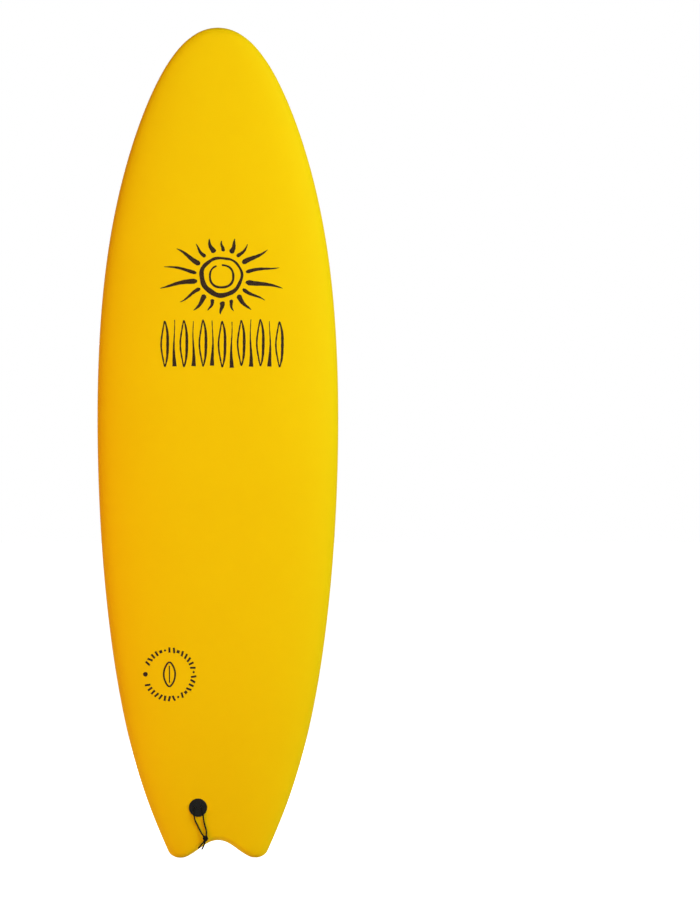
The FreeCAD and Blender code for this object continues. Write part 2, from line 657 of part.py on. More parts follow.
ra, rb = route(STRAND_A), route(STRAND_B)
ra = [from_hinge(hl, ra[0])] + ra
rb = [from_hinge(hr, rb[0])] + rb
knot_c = route([KNOT])[0]
knot = Part.makeSphere(KNOT_R, knot_c)
for name, pts in (("string_strand_a", ra), ("string_strand_b", rb), ("string_tail_a", route(TAIL_A)), ("string_tail_b", route(TAIL_B))):
    tube = cord(pts, STRING_R, name)
    put(name, one(tube.cut(knot), name))
    print(name, [tuple(round(c, 2) for c in p) for p in pts])
put("string_knot", knot)
for pts in (ra, rb):
    print("above the disc", [round((p - top).dot(out) - PLUG_DISC_H - STRING_R, 2) for p in pts if (p - top).Length < 26])
print("hinge", tuple(round(c, 3) for c in hinge), "holes", tuple(round(c, 3) for c in hl), tuple(round(c, 3) for c in hr), "knot", tuple(round(c, 2) for c in knot_c))

# ---------------------------------------------------------------- write
total = None
for name in sorted(parts):
    shape = parts[name]
    if not shape.isValid():
        print("INVALID", name)
    bb = shape.BoundBox
    print("%-18s solids %d  vol %.1f cm3  x %.1f..%.1f y %.1f..%.1f z %.1f..%.1f" % (name, len(shape.Solids), shape.Volume / 1000, bb.XMin, bb.XMax, bb.YMin, bb.YMax, bb.ZMin, bb.ZMax))
    total = bb if total is None else total.united(bb)
    shape.exportStep(os.path.join("parts", name + ".step"))
print("box", [round(v, 2) for v in (total.XMin, total.XMax, total.YMin, total.YMax, total.ZMin, total.ZMax)])
print("y centre", round((total.YMin + total.YMax) / 2, 3))
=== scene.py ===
import bpy, math, random
import numpy as np
from mathutils import Vector, Matrix


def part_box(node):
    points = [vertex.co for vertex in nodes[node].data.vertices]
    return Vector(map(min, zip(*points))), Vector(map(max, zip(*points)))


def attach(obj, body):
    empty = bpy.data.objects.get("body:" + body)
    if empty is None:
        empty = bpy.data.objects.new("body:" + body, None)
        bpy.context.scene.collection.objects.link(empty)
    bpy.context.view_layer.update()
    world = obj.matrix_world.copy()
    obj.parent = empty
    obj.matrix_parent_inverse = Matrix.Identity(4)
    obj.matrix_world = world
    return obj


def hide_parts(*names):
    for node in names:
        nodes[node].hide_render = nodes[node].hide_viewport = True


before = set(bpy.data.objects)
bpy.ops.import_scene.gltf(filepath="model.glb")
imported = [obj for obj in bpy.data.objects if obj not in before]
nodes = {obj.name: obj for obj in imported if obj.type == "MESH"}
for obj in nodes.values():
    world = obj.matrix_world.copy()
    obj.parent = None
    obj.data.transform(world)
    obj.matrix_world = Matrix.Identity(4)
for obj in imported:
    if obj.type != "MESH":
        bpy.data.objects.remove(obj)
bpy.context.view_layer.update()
MM = 0.001

# ------------------------------------------------------------------ the board's shape, in millimetres
LENGTH = 1829.0
slick_lo, slick_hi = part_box("slick_sheet")
FRAME_Y = slick_hi[1] / MM                      # the bottom centreline's outermost point
NOSE_ROCKER, NOSE_ROCKER_POWER = 112.0, 2.35
TAIL_ROCKER, TAIL_ROCKER_POWER = 44.0, 2.2
ROCKER_FLAT_Z = 860.0
HALF_WIDTH = [(-14, 97.2), (0, 103.2), (25, 114.3), (60, 129.5), (110, 149.6), (170, 170.5),
              (240, 190.8), (330, 211.5), (430, 229.1), (540, 243.6), (660, 255.0), (790, 262.8),
              (920, 266.5), (1050, 265.9), (1180, 260.0), (1300, 248.4), (1410, 230.8), (1510, 207.7),
              (1590, 183.5), (1660, 157.1), (1715, 131.3), (1755, 107.6), (1782, 87.0), (1802, 66.8),
              (1815, 48.5), (1822.5, 33.3), (1826.5, 20.7), (1828.4, 10.4)]
THICKNESS = [(-14, 26.0), (0, 28.0), (25, 32.0), (60, 38.2), (110, 46.0), (170, 53.0), (240, 59.0),
             (330, 64.8), (430, 69.2), (540, 72.6), (660, 75.0), (790, 76.1), (920, 76.2), (1050, 75.6),
             (1180, 73.6), (1300, 70.2), (1410, 65.0), (1510, 58.0), (1590, 50.6), (1660, 42.6),
             (1715, 35.6), (1755, 30.2), (1782, 26.2), (1802, 22.6), (1815, 18.8), (1822.5, 14.6),
             (1826.5, 9.6), (1828.4, 5.0)]
APEX, DECK_DOME, DECK_EDGE, BOTTOM_EDGE = 0.44, 3.1, 2.15, 28.0
TAIL_EDGE = [(0, 38.3), (13, 36.4), (26, 30.4), (39, 21.6), (52, 12.2), (62, 6.0), (70, 2.0),
             (77, 0.3), (84, 0.0), (91, 0.7), (97, 2.7), (102.0, 5.6), (106.2, 9.4),
             (110.4, 15.7), (114.0, 22.1), (118.6, 30.2), (125.0, 41.4), (132.0, 53.6)]
BAND = [(-14, 4.0), (0, 4.2), (60, 5.2), (110, 6.4), (170, 8.4), (300, 12.0), (436, 14.2), (635, 16.0),
        (900, 17.0), (1100, 16.6), (1300, 15.0), (1430, 13.0), (1560, 10.6), (1626, 8.8), (1692, 6.8),
        (1758, 5.2), (1800, 4.6), (1829, 4.2)]
TAIL_BAND = 4.2
DECK_TAIL_R, BOTTOM_TAIL_R = 13.0, 8.0           # rounding of the tail's edges


class Spline:
    # natural cubic through (x, y) pairs, for arrays
    def __init__(self, pts):
        p = np.array(pts, float)
        self.x, self.y = p[:, 0], p[:, 1]
        n = len(p)
        h = np.diff(self.x)
        A = np.eye(n)
        d = np.zeros(n)
        for i in range(1, n - 1):
            A[i, i - 1], A[i, i], A[i, i + 1] = h[i - 1], 2 * (h[i - 1] + h[i]), h[i]
            d[i] = 6 * ((self.y[i + 1] - self.y[i]) / h[i] - (self.y[i] - self.y[i - 1]) / h[i - 1])
        self.m = np.linalg.solve(A, d)

    def __call__(self, x):
        x = np.clip(np.asarray(x, float), self.x[0], self.x[-1])
        i = np.clip(np.searchsorted(self.x, x, side="right") - 1, 0, len(self.x) - 2)
        h = self.x[i + 1] - self.x[i]
        a, b = (self.x[i + 1] - x) / h, (x - self.x[i]) / h
        return a * self.y[i] + b * self.y[i + 1] + ((a ** 3 - a) * self.m[i] + (b ** 3 - b) * self.m[i + 1]) * h * h / 6


_g = Spline([(z, w * w / (LENGTH - z)) for z, w in HALF_WIDTH])
_t = Spline([(z, t * t / (LENGTH + 0.5 - z)) for z, t in THICKNESS if z > 1540])
_t_low = Spline([(z, t) for z, t in THICKNESS if z <= 1720])
_band = Spline(BAND)
tail_z = Spline([(-x, z) for x, z in TAIL_EDGE[:0:-1]] + TAIL_EDGE)


def half_width(z):
    z = np.asarray(z, float)
    return np.sqrt(np.maximum(_g(z) * (LENGTH - z), 1e-9))


def thickness(z):
    z = np.asarray(z, float)
    hi = np.sqrt(np.maximum(_t(z) * (LENGTH + 0.5 - z), 0))
    k = np.clip((z - 1590) / 70.0, 0, 1)
    k = k * k * (3 - 2 * k)
    return (1 - k) * _t_low(z) + k * hi


def bottom_line(z):
    z = np.asarray(z, float)
    up = NOSE_ROCKER * (np.clip(z - ROCKER_FLAT_Z, 0, None) / (LENGTH - ROCKER_FLAT_Z)) ** NOSE_ROCKER_POWER
    dn = TAIL_ROCKER * (np.clip(ROCKER_FLAT_Z - z, 0, None) / ROCKER_FLAT_Z) ** TAIL_ROCKER_POWER
    return FRAME_Y - up - dn


def edge_power(a):
    a = np.maximum(a, BOTTOM_EDGE * 1.02)
    return np.maximum(2.1, math.log(0.06) / np.log(np.maximum(1.0 - BOTTOM_EDGE / a, 0.02)))


def apex_y(z):
    return bottom_line(z) - APEX * thickness(z)


_tx = np.linspace(-132, 132, 529)
TAIL_LINE = np.stack([_tx, tail_z(_tx)], 1)
_zz = np.linspace(6, 60, 2701)
_i = np.where(np.diff(np.sign(tail_z(half_width(_zz)) - _zz)) != 0)[0][-1]
CORNER_X = float(half_width(_zz[_i]))           # where the tail curve meets the side outline
TAIL_EDGE_LINE = TAIL_LINE[np.abs(TAIL_LINE[:, 0]) <= CORNER_X]


def line_distance(line, x, z):
    # distance of points to a polyline, in the plan
    x, z = np.atleast_1d(np.asarray(x, float)), np.atleast_1d(np.asarray(z, float))
    shape = x.shape
    p = np.stack([x.ravel(), z.ravel()], 1)
    a, b = line[:-1], line[1:]
    d = b - a
    out = np.empty(len(p))
    for s in range(0, len(p), 4000):
        q = p[s:s + 4000]
        w = q[:, None, :] - a[None]
        t = np.clip((w * d).sum(2) / (d * d).sum(1), 0, 1)
        out[s:s + 4000] = np.sqrt((((w - t[..., None] * d) ** 2).sum(2)).min(1))
    return out.reshape(shape)


def tail_distance(x, z):
    # how far a point of the plan is from the tail's edge, 0 outside
    x, z = np.broadcast_arrays(np.asarray(x, float), np.asarray(z, float))
    out = np.full(x.shape, 1000.0)
    near = z < 150
    if near.any():
        d = line_distance(TAIL_EDGE_LINE, x[near], z[near])
        above = z[near] > tail_z(x[near]) - 1e-6
        out[near] = np.where(above, d, 0.0)
    return out


def round_off(d, r):
    k = np.clip(np.asarray(d, float) / r, 0, 1)
    return np.sqrt(1 - (1 - k) ** 2)


def deck_y(x, z):
    a, t = half_width(z), thickness(z)
    s = np.clip(np.abs(x) / a, 0, 1)
    k = np.minimum(a / 120.0, 1.0)
    dome, edge = 2.2 + (DECK_DOME - 2.2) * k, 2.0 + (DECK_EDGE - 2.0) * k
    up = (1 - APEX) * t * np.maximum(1 - s ** dome, 0) ** (1 / edge)
    return bottom_line(z) - APEX * t - up * round_off(tail_distance(x, z), DECK_TAIL_R)


def bottom_y(x, z):
    a, t = half_width(z), thickness(z)
    s = np.clip(np.abs(x) / a, 0, 1)
    dn = APEX * t * np.sqrt(np.maximum(1 - s ** edge_power(a), 0))
    return bottom_line(z) - APEX * t + dn * round_off(tail_distance(x, z), BOTTOM_TAIL_R)


# the bottom sheet's outline: the board's outline moved in by the band
_z = np.concatenate([np.linspace(-14, 1700, 700), 1829 - 129 * (1 - np.linspace(0, 1, 500)) ** 2.5])
_z = _z[_z < LENGTH - 1e-3]
_s = (half_width(np.minimum(_z + .05, LENGTH - 1e-4)) - half_width(_z - .05)) / (np.minimum(_z + .05, LENGTH - 1e-4) - _z + .05)
_k = np.sqrt(1 + _s * _s)
_ez, _ex = _z + _band(_z) * _s / _k, half_width(_z) - _band(_z) / _k
_keep = _ex > 0
_o = np.argsort(_ez[_keep])
EDGE_Z, EDGE_X = _ez[_keep][_o], _ex[_keep][_o]
SHEET_NOSE = LENGTH - float(_band(LENGTH))
EDGE_Z, EDGE_X = np.append(EDGE_Z, SHEET_NOSE), np.append(EDGE_X, 0.0)


def sheet_half(z):
    return np.interp(z, EDGE_Z, EDGE_X)


_d = np.gradient(TAIL_LINE, axis=0)
_d /= np.linalg.norm(_d, axis=1)[:, None]
TAIL_OFF = TAIL_LINE + np.stack([-_d[:, 1], _d[:, 0]], 1) * TAIL_BAND
tail_off_z = lambda x: np.interp(x, TAIL_OFF[:, 0], TAIL_OFF[:, 1])


def sheet_distance(x, z):
    # how far inside the bottom sheet's edge a point of the plan is
    x, z = np.broadcast_arrays(np.asarray(x, float), np.asarray(z, float))
    slope = (sheet_half(z + 2) - sheet_half(z - 2)) / 4
    side = (sheet_half(z) - np.abs(x)) / np.sqrt(1 + slope ** 2)
    near = z < 150
    out = side.copy()
    if near.any():
        d = line_distance(TAIL_OFF, x[near], z[near])
        d = np.where(z[near] > tail_off_z(x[near]), d, -d)
        out[near] = np.minimum(side[near], d)
    return np.minimum(out, SHEET_NOSE - z)


# ------------------------------------------------------------------ mesh helpers
def mesh_object(name, verts, faces, smooth=True):
    me = bpy.data.meshes.new(name)
    me.from_pydata([tuple(v) for v in np.asarray(verts, float)], [], [tuple(int(i) for i in f) for f in faces])
    me.validate(clean_customdata=False)
    me.update()
    if smooth:
        me.polygons.foreach_set("use_smooth", [True] * len(me.polygons))
    ob = bpy.data.objects.new(name, me)
    bpy.context.scene.collection.objects.link(ob)
    return ob


def grid_faces(rows, cols, wrap=False, flip=False, base=0):
    out = []
    n = cols if wrap else cols - 1
    for r in range(rows - 1):
        for c in range(n):
            a = base + r * cols + c
            b = base + r * cols + (c + 1) % cols
            f = (a, b, b + cols, a + cols)
            out.append(f[::-1] if flip else f)
    return out


def side_crossing(half, tail):
    # where the side outline meets the tail curve
    zz = np.linspace(10, 70, 3001)
    xx = half(zz)
    d = tail(xx) - zz
    i = np.where(d[:-1] * d[1:] <= 0)[0][-1]
    return float(zz[i])


# ------------------------------------------------------------------ foam skin: deck, rails and the band round the bottom
def build_foam():
    nd, nb = 36, 42
    q = np.arange(nd + 1) / nd
    sd = 1 - (1 - q) ** 2.4
    q = np.arange(nb + 1) / nb
    sb = 1 - (1 - q) ** 2.4
    s_deck = np.concatenate([-sd[::-1], sd[1:]])            # left rail to right rail
    s_bot = np.concatenate([sb[::-1], -sb[1:]])[1:-1]       # right to left, without the rails
    zc = side_crossing(half_width, tail_z)
    vs = np.concatenate([0.13 * (1 - np.cos(np.pi / 2 * np.arange(13) / 12)), np.linspace(0.13, 1, 17)[1:]])
    zs = np.concatenate([np.linspace(150, 1700, 165)[1:], (1829 - 129 * (1 - np.arange(1, 42) / 42) ** 2.1)])
    zs = zs[zs < LENGTH - 0.05]
    ring_x, ring_z, ring_s = [], [], []
    for v in vs:
        zside = zc + (150 - zc) * v
        a0 = float(half_width(zc))
        s = np.concatenate([s_deck, s_bot])
        b = (1 - v) ** 2
        x = s * float(half_width(zside))
        z = zside + (tail_z(s * a0) - zc) * b
        ring_x.append(x)
        ring_z.append(z)
    for z in zs:
        s = np.concatenate([s_deck, s_bot])
        ring_x.append(s * float(half_width(z)))
        ring_z.append(np.full(len(s), z))
    X, Z = np.array(ring_x), np.array(ring_z)
    n1 = len(s_deck)
    Y = np.empty_like(X)
    # the plan's width at each point's own height
    Y[:, :n1] = deck_y(X[:, :n1], Z[:, :n1])
    yb = bottom_y(X[:, n1:], Z[:, n1:])
    din = sheet_distance(X[:, n1:], Z[:, n1:])
    k = np.clip((din - 0.6) / 4.5, 0, 1)
    Y[:, n1:] = yb - 1.7 * k * k * (3 - 2 * k)
    # rails: both sides meet on the widest line
    Y[:, 0] = apex_y(Z[:, 0])
    Y[:, n1 - 1] = apex_y(Z[:, n1 - 1])
    rows, cols = X.shape
    V = np.stack([X.ravel(), Y.ravel(), Z.ravel()], 1)
    faces = grid_faces(rows, cols, wrap=True)
    # tail end: deck and bottom share the tail's edge line, so the first ring closes flat
    # close the first ring by pairing deck and bottom along the edge
    top = list(range(0, n1))
    bot = [0] + list(range(cols - 1, n1 - 1, -1)) + [n1 - 1]
    # advance along both chains by x
    i = j = 0
    while i < len(top) - 1 or j < len(bot) - 1:
        xi = X[0, top[i + 1]] if i < len(top) - 1 else 1e9
        xj = X[0, bot[j + 1]] if j < len(bot) - 1 else 1e9
        if xi <= xj:
            f = (top[i], top[i + 1], bot[j])
            i += 1
        else:
            f = (top[i], bot[j + 1], bot[j])
            j += 1
        if len(set(f)) == 3:
            faces.append(f[::-1])
    tip = len(V)
    zt = LENGTH - 0.35
    V = np.vstack([V, [[0, float(apex_y(zt)), zt]]])
    base = (rows - 1) * cols
    for c in range(cols):
        faces.append((base + c, base + (c + 1) % cols, tip))
    return mesh_object("foam_skin", V * MM, faces)


# ------------------------------------------------------------------ bottom sheet
PROUD = 0.30


def build_sheet():
    dist = np.array([0, .3, .7, 1.4, 2.6, 4.5, 7.5, 11.5, 16.0])
    inner = 50
    zc = side_crossing(sheet_half, tail_off_z)
    a0 = float(sheet_half(zc))
    vs = np.concatenate([[0, .002, .005, .01, .018, .03, .045, .065], np.linspace(.09, 1, 18)])
    zs = np.concatenate([np.linspace(150, 1700, 165)[1:], SHEET_NOSE - (SHEET_NOSE - 1700) * (1 - np.arange(1, 44) / 44) ** 2.2])
    zs = zs[zs < SHEET_NOSE - 0.02]

    def cols_for(a):
        k = min(1.0, a / 34.0)
        e = dist * k
        mid = np.linspace(-(a - e[-1]), a - e[-1], inner + 1)[1:-1]
        return np.concatenate([-(a - e), mid, (a - e)[::-1]])

    RX, RZ = [], []
    for v in vs:
        zside = zc + (150 - zc) * v
        x = cols_for(float(sheet_half(zside)))
        s = x / float(sheet_half(zside))
        z = zside + (tail_off_z(s * a0) - zc) * (1 - v) ** 2
        RX.append(x)
        RZ.append(z)
    for z in zs:
        x = cols_for(float(sheet_half(z)))
        RX.append(x)
        RZ.append(np.full(len(x), z))
    X, Z = np.array(RX), np.array(RZ)
    rows, cols = X.shape
    din = np.maximum(sheet_distance(X, Z), 0)
    base = bottom_y(X, Z)
    Yo = base - 0.25 + (PROUD + 0.25) * round_off(din, 0.8)
    Yi = base - 1.25
    tipz = SHEET_NOSE - 0.02
    V = np.concatenate([np.stack([X.ravel(), Yo.ravel(), Z.ravel()], 1), np.stack([X.ravel(), Yi.ravel(), Z.ravel()], 1)])
    n = rows * cols
    faces = grid_faces(rows, cols, flip=True) + grid_faces(rows, cols, base=n)
    tip_o, tip_i = len(V), len(V) + 1
    yb = float(bottom_y(0.0, tipz))
    V = np.vstack([V, [[0, yb - .25, tipz], [0, yb - 1.25, tipz]]])
    last = (rows - 1) * cols
    for c in range(cols - 1):
        faces.append((last + c, tip_o, last + c + 1))
        faces.append((n + last + c, n + last + c + 1, tip_i))
    # wall all round
    ring = [r * cols for r in range(rows - 1, -1, -1)] + list(range(1, cols)) + [r * cols + cols - 1 for r in range(1, rows)]
    ring = ring + [tip_o]
    ring_i = [i + n for i in ring[:-1]] + [tip_i]
    m = len(ring)
    for k in range(m):
        a, b = ring[k], ring[(k + 1) % m]
        c, d = ring_i[(k + 1) % m], ring_i[k]
        faces.append((a, b, c, d))
    ob = mesh_object("bottom_sheet", V * MM, faces)
    bpy.context.view_layer.objects.active = ob
    import bmesh
    bm = bmesh.new()
    bm.from_mesh(ob.data)
    bmesh.ops.recalc_face_normals(bm, faces=bm.faces)
    bm.to_mesh(ob.data)
    bm.free()
    return ob


# ------------------------------------------------------------------ ink: thin closed strips lying on a surface
class Ink:
    def __init__(self, side, lift, sink=0.15):
        self.side, self.lift, self.sink = side, lift, sink
        self.p, self.low, self.faces = [], [], []
        self.n = 0

    def ribbon(self, pts, widths):
        # one tapered brush stroke along plan points
        P = np.asarray(pts, float)
        W = np.maximum(np.asarray(widths, float), 0.12)
        if len(P) < 2:
            return
        T = np.gradient(P, axis=0)
        T /= np.maximum(np.linalg.norm(T, axis=1), 1e-9)[:, None]
        N = np.stack([-T[:, 1], T[:, 0]], 1)
        L, R = P + N * W[:, None] / 2, P - N * W[:, None] / 2
        k = len(P)
        # enough columns across the stroke for it to follow the surface
        f = deck_y if self.side == "deck" else bottom_y
        sag = float(np.max(np.abs(f(P[:, 0], P[:, 1]) - (f(L[:, 0], L[:, 1]) + f(R[:, 0], R[:, 1])) / 2)))
        n = 1 if sag < 0.035 else int(min(6, math.ceil(math.sqrt(sag / 0.03))))
        cols = [L + (R - L) * j / n for j in range(n + 1)]
        self.p += cols + [R, L]
        self.low += [np.zeros(k)] * (n + 1) + [np.ones(k), np.ones(k)]
        b, m = self.n, n + 3
        for i in range(k - 1):
            for u in range(m):
                w = (u + 1) % m
                self.faces.append((b + u * k + i, b + w * k + i, b + w * k + i + 1, b + u * k + i + 1))
        self.faces.append(tuple(b + u * k for u in range(m - 1, -1, -1)))
        e = k - 1
        self.faces.append(tuple(b + u * k + e for u in range(m)))
        self.n += m * k

    def patch(self, grid):
        # a closed sheet over a grid of plan points, rows by columns by 2
        g = np.asarray(grid, float)
        r, c = g.shape[:2]
        self.p += [g.reshape(-1, 2), g.reshape(-1, 2)]
        self.low += [np.zeros(r * c), np.ones(r * c)]
        b = self.n
        m = r * c
        self.faces += grid_faces(r, c, base=b)
        self.faces += grid_faces(r, c, base=b + m, flip=True)
        ring = [i for i in range(c)] + [i * c + c - 1 for i in range(1, r)] + [(r - 1) * c + i for i in range(c - 2, -1, -1)] + [i * c for i in range(r - 2, 0, -1)]
        for k in range(len(ring)):
            a, d = ring[k], ring[(k + 1) % len(ring)]
            self.faces.append((b + a, b + m + a, b + m + d, b + d))
        self.n += 2 * m

    def disc(self, cx, cz, radius, rings=10, seg=72, inner=0.0):
        rr = np.linspace(inner, radius, rings + 1)
        if inner == 0:
            rr = rr[1:]
        an = np.linspace(0, 2 * math.pi, seg, endpoint=False)
        g = np.array([[(cx + r * math.cos(a), cz + r * math.sin(a)) for a in an] for r in rr])
        k = len(rr)
        m = k * seg
        top = g.reshape(-1, 2)
        b = self.n
        self.p += [top, top]
        self.low += [np.zeros(m), np.ones(m)]
        self.faces += grid_faces(k, seg, wrap=True, base=b)
        self.faces += grid_faces(k, seg, wrap=True, base=b + m, flip=True)
        for i in range(seg):
            j = (i + 1) % seg
            o = (k - 1) * seg
            self.faces.append((b + o + i, b + m + o + i, b + m + o + j, b + o + j))
        self.n += 2 * m
        if inner == 0:
            self.p += [np.array([[cx, cz], [cx, cz]])]
            self.low += [np.array([0.0, 1.0])]
            c0, c1 = self.n, self.n + 1
            for i in range(seg):
                j = (i + 1) % seg
                self.faces.append((c0, b + i, b + j))
                self.faces.append((c1, b + m + j, b + m + i))
            self.n += 2
        else:
            for i in range(seg):
                j = (i + 1) % seg
                self.faces.append((b + j, b + m + j, b + m + i, b + i))

    def build(self, name):
        P = np.concatenate(self.p)
        low = np.concatenate(self.low)
        x, z = P[:, 0], P[:, 1]
        h = np.where(low > 0, -self.sink, self.lift)
        if self.side == "deck":
            y = deck_y(x, z) - h
        else:
            y = bottom_y(x, z) + PROUD + h
        ob = mesh_object(name, np.stack([x, y, z], 1) * MM, self.faces, smooth=False)
        import bmesh
        bm = bmesh.new()
        bm.from_mesh(ob.data)
        bmesh.ops.recalc_face_normals(bm, faces=bm.faces)
        bm.to_mesh(ob.data)
        bm.free()
        return ob


def arc_length(P):
    P = np.asarray(P, float)
    return np.concatenate([[0], np.cumsum(np.linalg.norm(np.diff(P, axis=0), axis=1))])


# ------------------------------------------------------------------ the bottom's printed pattern
PLATES = [(-160.0, 395.0, 158.0, 36.0), (160.0, 395.0, 158.0, 36.0), (0.0, 187.5, 146.0, 34.0)]
SUN = (-18.0, 1335.0, 92.0)                     # orange disc on the bottom: x, z, radius
BARS = [(1228.0, 24.0, 88.0), (1186.0, 23.0, 76.0), (1144.0, 22.0, 61.0), (1103.0, 21.0, 43.0)]


def in_plate(x, z, grow=-2.0):
    hit = np.zeros(np.shape(x), bool)
    for px, pz, l, w in PLATES:
        r = w / 2
        dz = np.maximum(np.abs(z - pz) - (l / 2 - r), 0)
        hit |= np.hypot(x - px, dz) < r + grow
    hit |= np.hypot(x + 44.0, z - 112.6) < 18.5 + grow
    return hit


def in_mark(x, z, grow=0.0):
    hit = np.hypot(x - SUN[0], z - SUN[1]) < SUN[2] + grow
    for bz, bh, bw in BARS:
        wob = 2.2 * np.sin((x - SUN[0]) / 19.0)
        hit |= (np.abs(z - bz - wob) < bh / 2 + grow) & (np.abs(x - SUN[0]) < bw + grow)
    return hit


def warp(x, z):
    wx = 11 * np.sin(z / 41.0 + 1.7 * np.sin(x / 67.0)) + 6 * np.sin(x / 23.0 + z / 31.0)
    wz = 11 * np.sin(x / 37.0 + 1.5 * np.sin(z / 59.0)) + 6 * np.sin(z / 27.0 - x / 33.0)
    return x + wx, z + wz


def build_pattern():
    rng = random.Random(41)
    black, tone = Ink("bottom", 0.10), Ink("bottom", 0.22)
    seeds, tries = [], 0
    while tries < 9000:
        tries += 1
        x, z = rng.uniform(-275, 275), rng.uniform(-20, 1840)
        r = rng.uniform(76, 146)
        if all(math.hypot(x - a, z - b) > (r + c) / 2 for a, b, c in seeds):
            seeds.append((x, z, r))
    S = np.array(seeds)
    Wc = np.stack(warp(S[:, 0], S[:, 1]), 1)
    last = None
    for i, (cx, cz, r) in enumerate(seeds):
        style = rng.choices(["wave", "wave_thin", "flow", "arcs", "chevron", "bars", "oval"], [66, 9, 5, 5, 5, 5, 4])[0]
        # neighbours turn against each other
        th = rng.choice([0, 0, 0.3, -0.3, 0.7, -0.8, 1.57, 1.57, 1.25, -1.2]) + rng.uniform(-0.22, 0.22)
        R = r * 1.15 + 30
        cu, su = math.cos(th), math.sin(th)
        lam, amp = rng.uniform(42, 84), rng.uniform(3.6, 8.0)
        pitch = rng.uniform(12.5, 17.5)
        bold = pitch * rng.uniform(0.74, 0.88)
        phi, drift, bend, phib, phw = rng.uniform(0, 6.28), rng.uniform(-.45, .45), rng.uniform(5, 16), rng.uniform(0, 6.28), rng.choice([0.4, 1.9, 3.5, 5.0])
        deep = rng.uniform(0.32, 0.44)
        if style == "wave_thin":
            pitch = rng.uniform(9.5, 12.0); bold = pitch * 0.62; amp = rng.uniform(3.0, 5.4); lam = rng.uniform(36, 60)
        if style == "flow":
            pitch = rng.uniform(9.0, 12.0); bold = pitch * 0.48; amp = rng.uniform(5, 11); lam = rng.uniform(80, 130); deep = 0.25
        curves = []
        if style in ("wave", "wave_thin", "flow"):
            for k in range(-int(R / pitch) - 1, int(R / pitch) + 2):
                u = np.arange(-R, R + 1, 2.4)
                ph = 2 * np.pi * u / lam + phi + k * drift
                v = k * pitch + amp * np.sin(ph) + bend * np.sin(u / 60.0 + phib) \
                    + 1.1 * np.sin(u / 8.3 + rng.uniform(0, 6.28)) + 1.3 * np.sin(u / 23.0 + rng.uniform(0, 6.28)) + rng.uniform(-.9, .9)
                W = bold * (1 - deep + deep * np.sin(ph * 0.94 + phw + rng.uniform(-0.8, 0.8))) * (1 + 0.14 * np.sin(u / 37.0 + 0.9 * k))
                curves.append((np.stack([cx + u * cu - v * su, cz + u * su + v * cu], 1), W))
        elif style == "bars":
            for k in range(-int(R / pitch) - 1, int(R / pitch) + 2):
                u = np.arange(-R, R + 1, 2.4)
                v = k * pitch + 2.6 * np.sin(u / 26.0 + 0.5 * k + phi) + rng.uniform(-1, 1)
                W = bold * (0.68 + 0.15 * np.sin(u / 19.0 + k))
                curves.append((np.stack([cx + u * cu - v * su, cz + u * su + v * cu], 1), W))
        elif style == "chevron":
            pitch = 17.0
            for k in range(-int(R / pitch) - 1, int(R / pitch) + 2):
                u = np.arange(-R, R + 1, 2.0)
                v = k * pitch + 24 * np.sqrt((u / 30.0) ** 2 + 0.03) + 1.3 * np.sin(u / 9.0 + k)
                curves.append((np.stack([cx + u * cu - v * su, cz + u * su + v * cu], 1), np.full(len(u), 8.6) + 1.8 * np.sin(u / 13.0 + k)))
        else:
            ox, oz = cx + rng.uniform(-20, 20), cz + rng.uniform(-20, 20)
            if style == "arcs":
                ox, oz = cx + cu * r * 0.7, cz + su * r * 0.7
            el = rng.uniform(0.55, 0.85) if style == "oval" else rng.uniform(.85, 1)
            k, rad = 0, rng.uniform(5, 8)
            while rad < 2 * R:
                a = rng.uniform(0, 6.28) + np.arange(0, 2 * np.pi - 0.12, min(0.5, 2.6 / rad))
                rr = rad * (1 + 0.07 * np.sin(2 * a + phi) + 0.03 * np.sin(3 * a + k))
                ex, ez = rr * np.cos(a), rr * el * np.sin(a)
                W = bold * (0.56 + 0.26 * np.sin(a + phw))
                curves.append((np.stack([ox + ex * cu - ez * su, oz + ex * su + ez * cu], 1), W))
                rad += pitch * rng.uniform(.92, 1.06)
                k += 1
        for P, Wb in curves:
            x, z = P[:, 0], P[:, 1]
            wx, wz = warp(x, z)
            d = np.hypot(wx[:, None] - Wc[:, 0], wz[:, None] - Wc[:, 1]) - S[:, 2] * 0.35
            own = d[:, i].copy()
            d[:, i] = 1e9
            room = (d.min(1) - own) / 2
            ok = room > rng.uniform(-3.2, 0.9)
            ok &= sheet_distance(x, z) > 4.4 + rng.uniform(0, 1.8)
            ok &= ~in_plate(x, z)
            idx = np.where(ok)[0]
            if len(idx) == 0:
                continue
            for run in np.split(idx, np.where(np.diff(idx) > 1)[0] + 1):
                a = 0
                while a < len(run):
                    L = int(rng.uniform(36, 120))
                    b = min(a + L, len(run))
                    if len(run) - b < 12:
                        b = len(run)
                    piece = P[run[a:b]]
                    Wp = Wb[run[a:b]] * rng.uniform(.92, 1.08)
                    a = b + rng.choice([1, 2, 2, 3])
                    if len(piece) < 4:
                        continue
                    s_ = arc_length(piece)
                    if s_[-1] < 7:
                        continue
                    t0, t1 = rng.uniform(2, 12), rng.uniform(2, 12)
                    ph, ph2 = rng.uniform(0, 6.28), rng.uniform(0, 6.28)
                    ends = np.minimum(np.clip(s_ / t0, 0, 1), np.clip((s_[-1] - s_) / t1, 0, 1)) ** 0.6
                    W = Wp * (1 + .06 * np.sin(s_ / 3.7 + ph) + .04 * np.sin(s_ / 1.9 + ph2)) * ends
                    mark = in_mark(piece[:, 0], piece[:, 1], -1.0)
                    if mark.all():
                        tone.ribbon(piece, W * 0.85)
                    elif not mark.any():
                        black.ribbon(piece, W)
                    else:
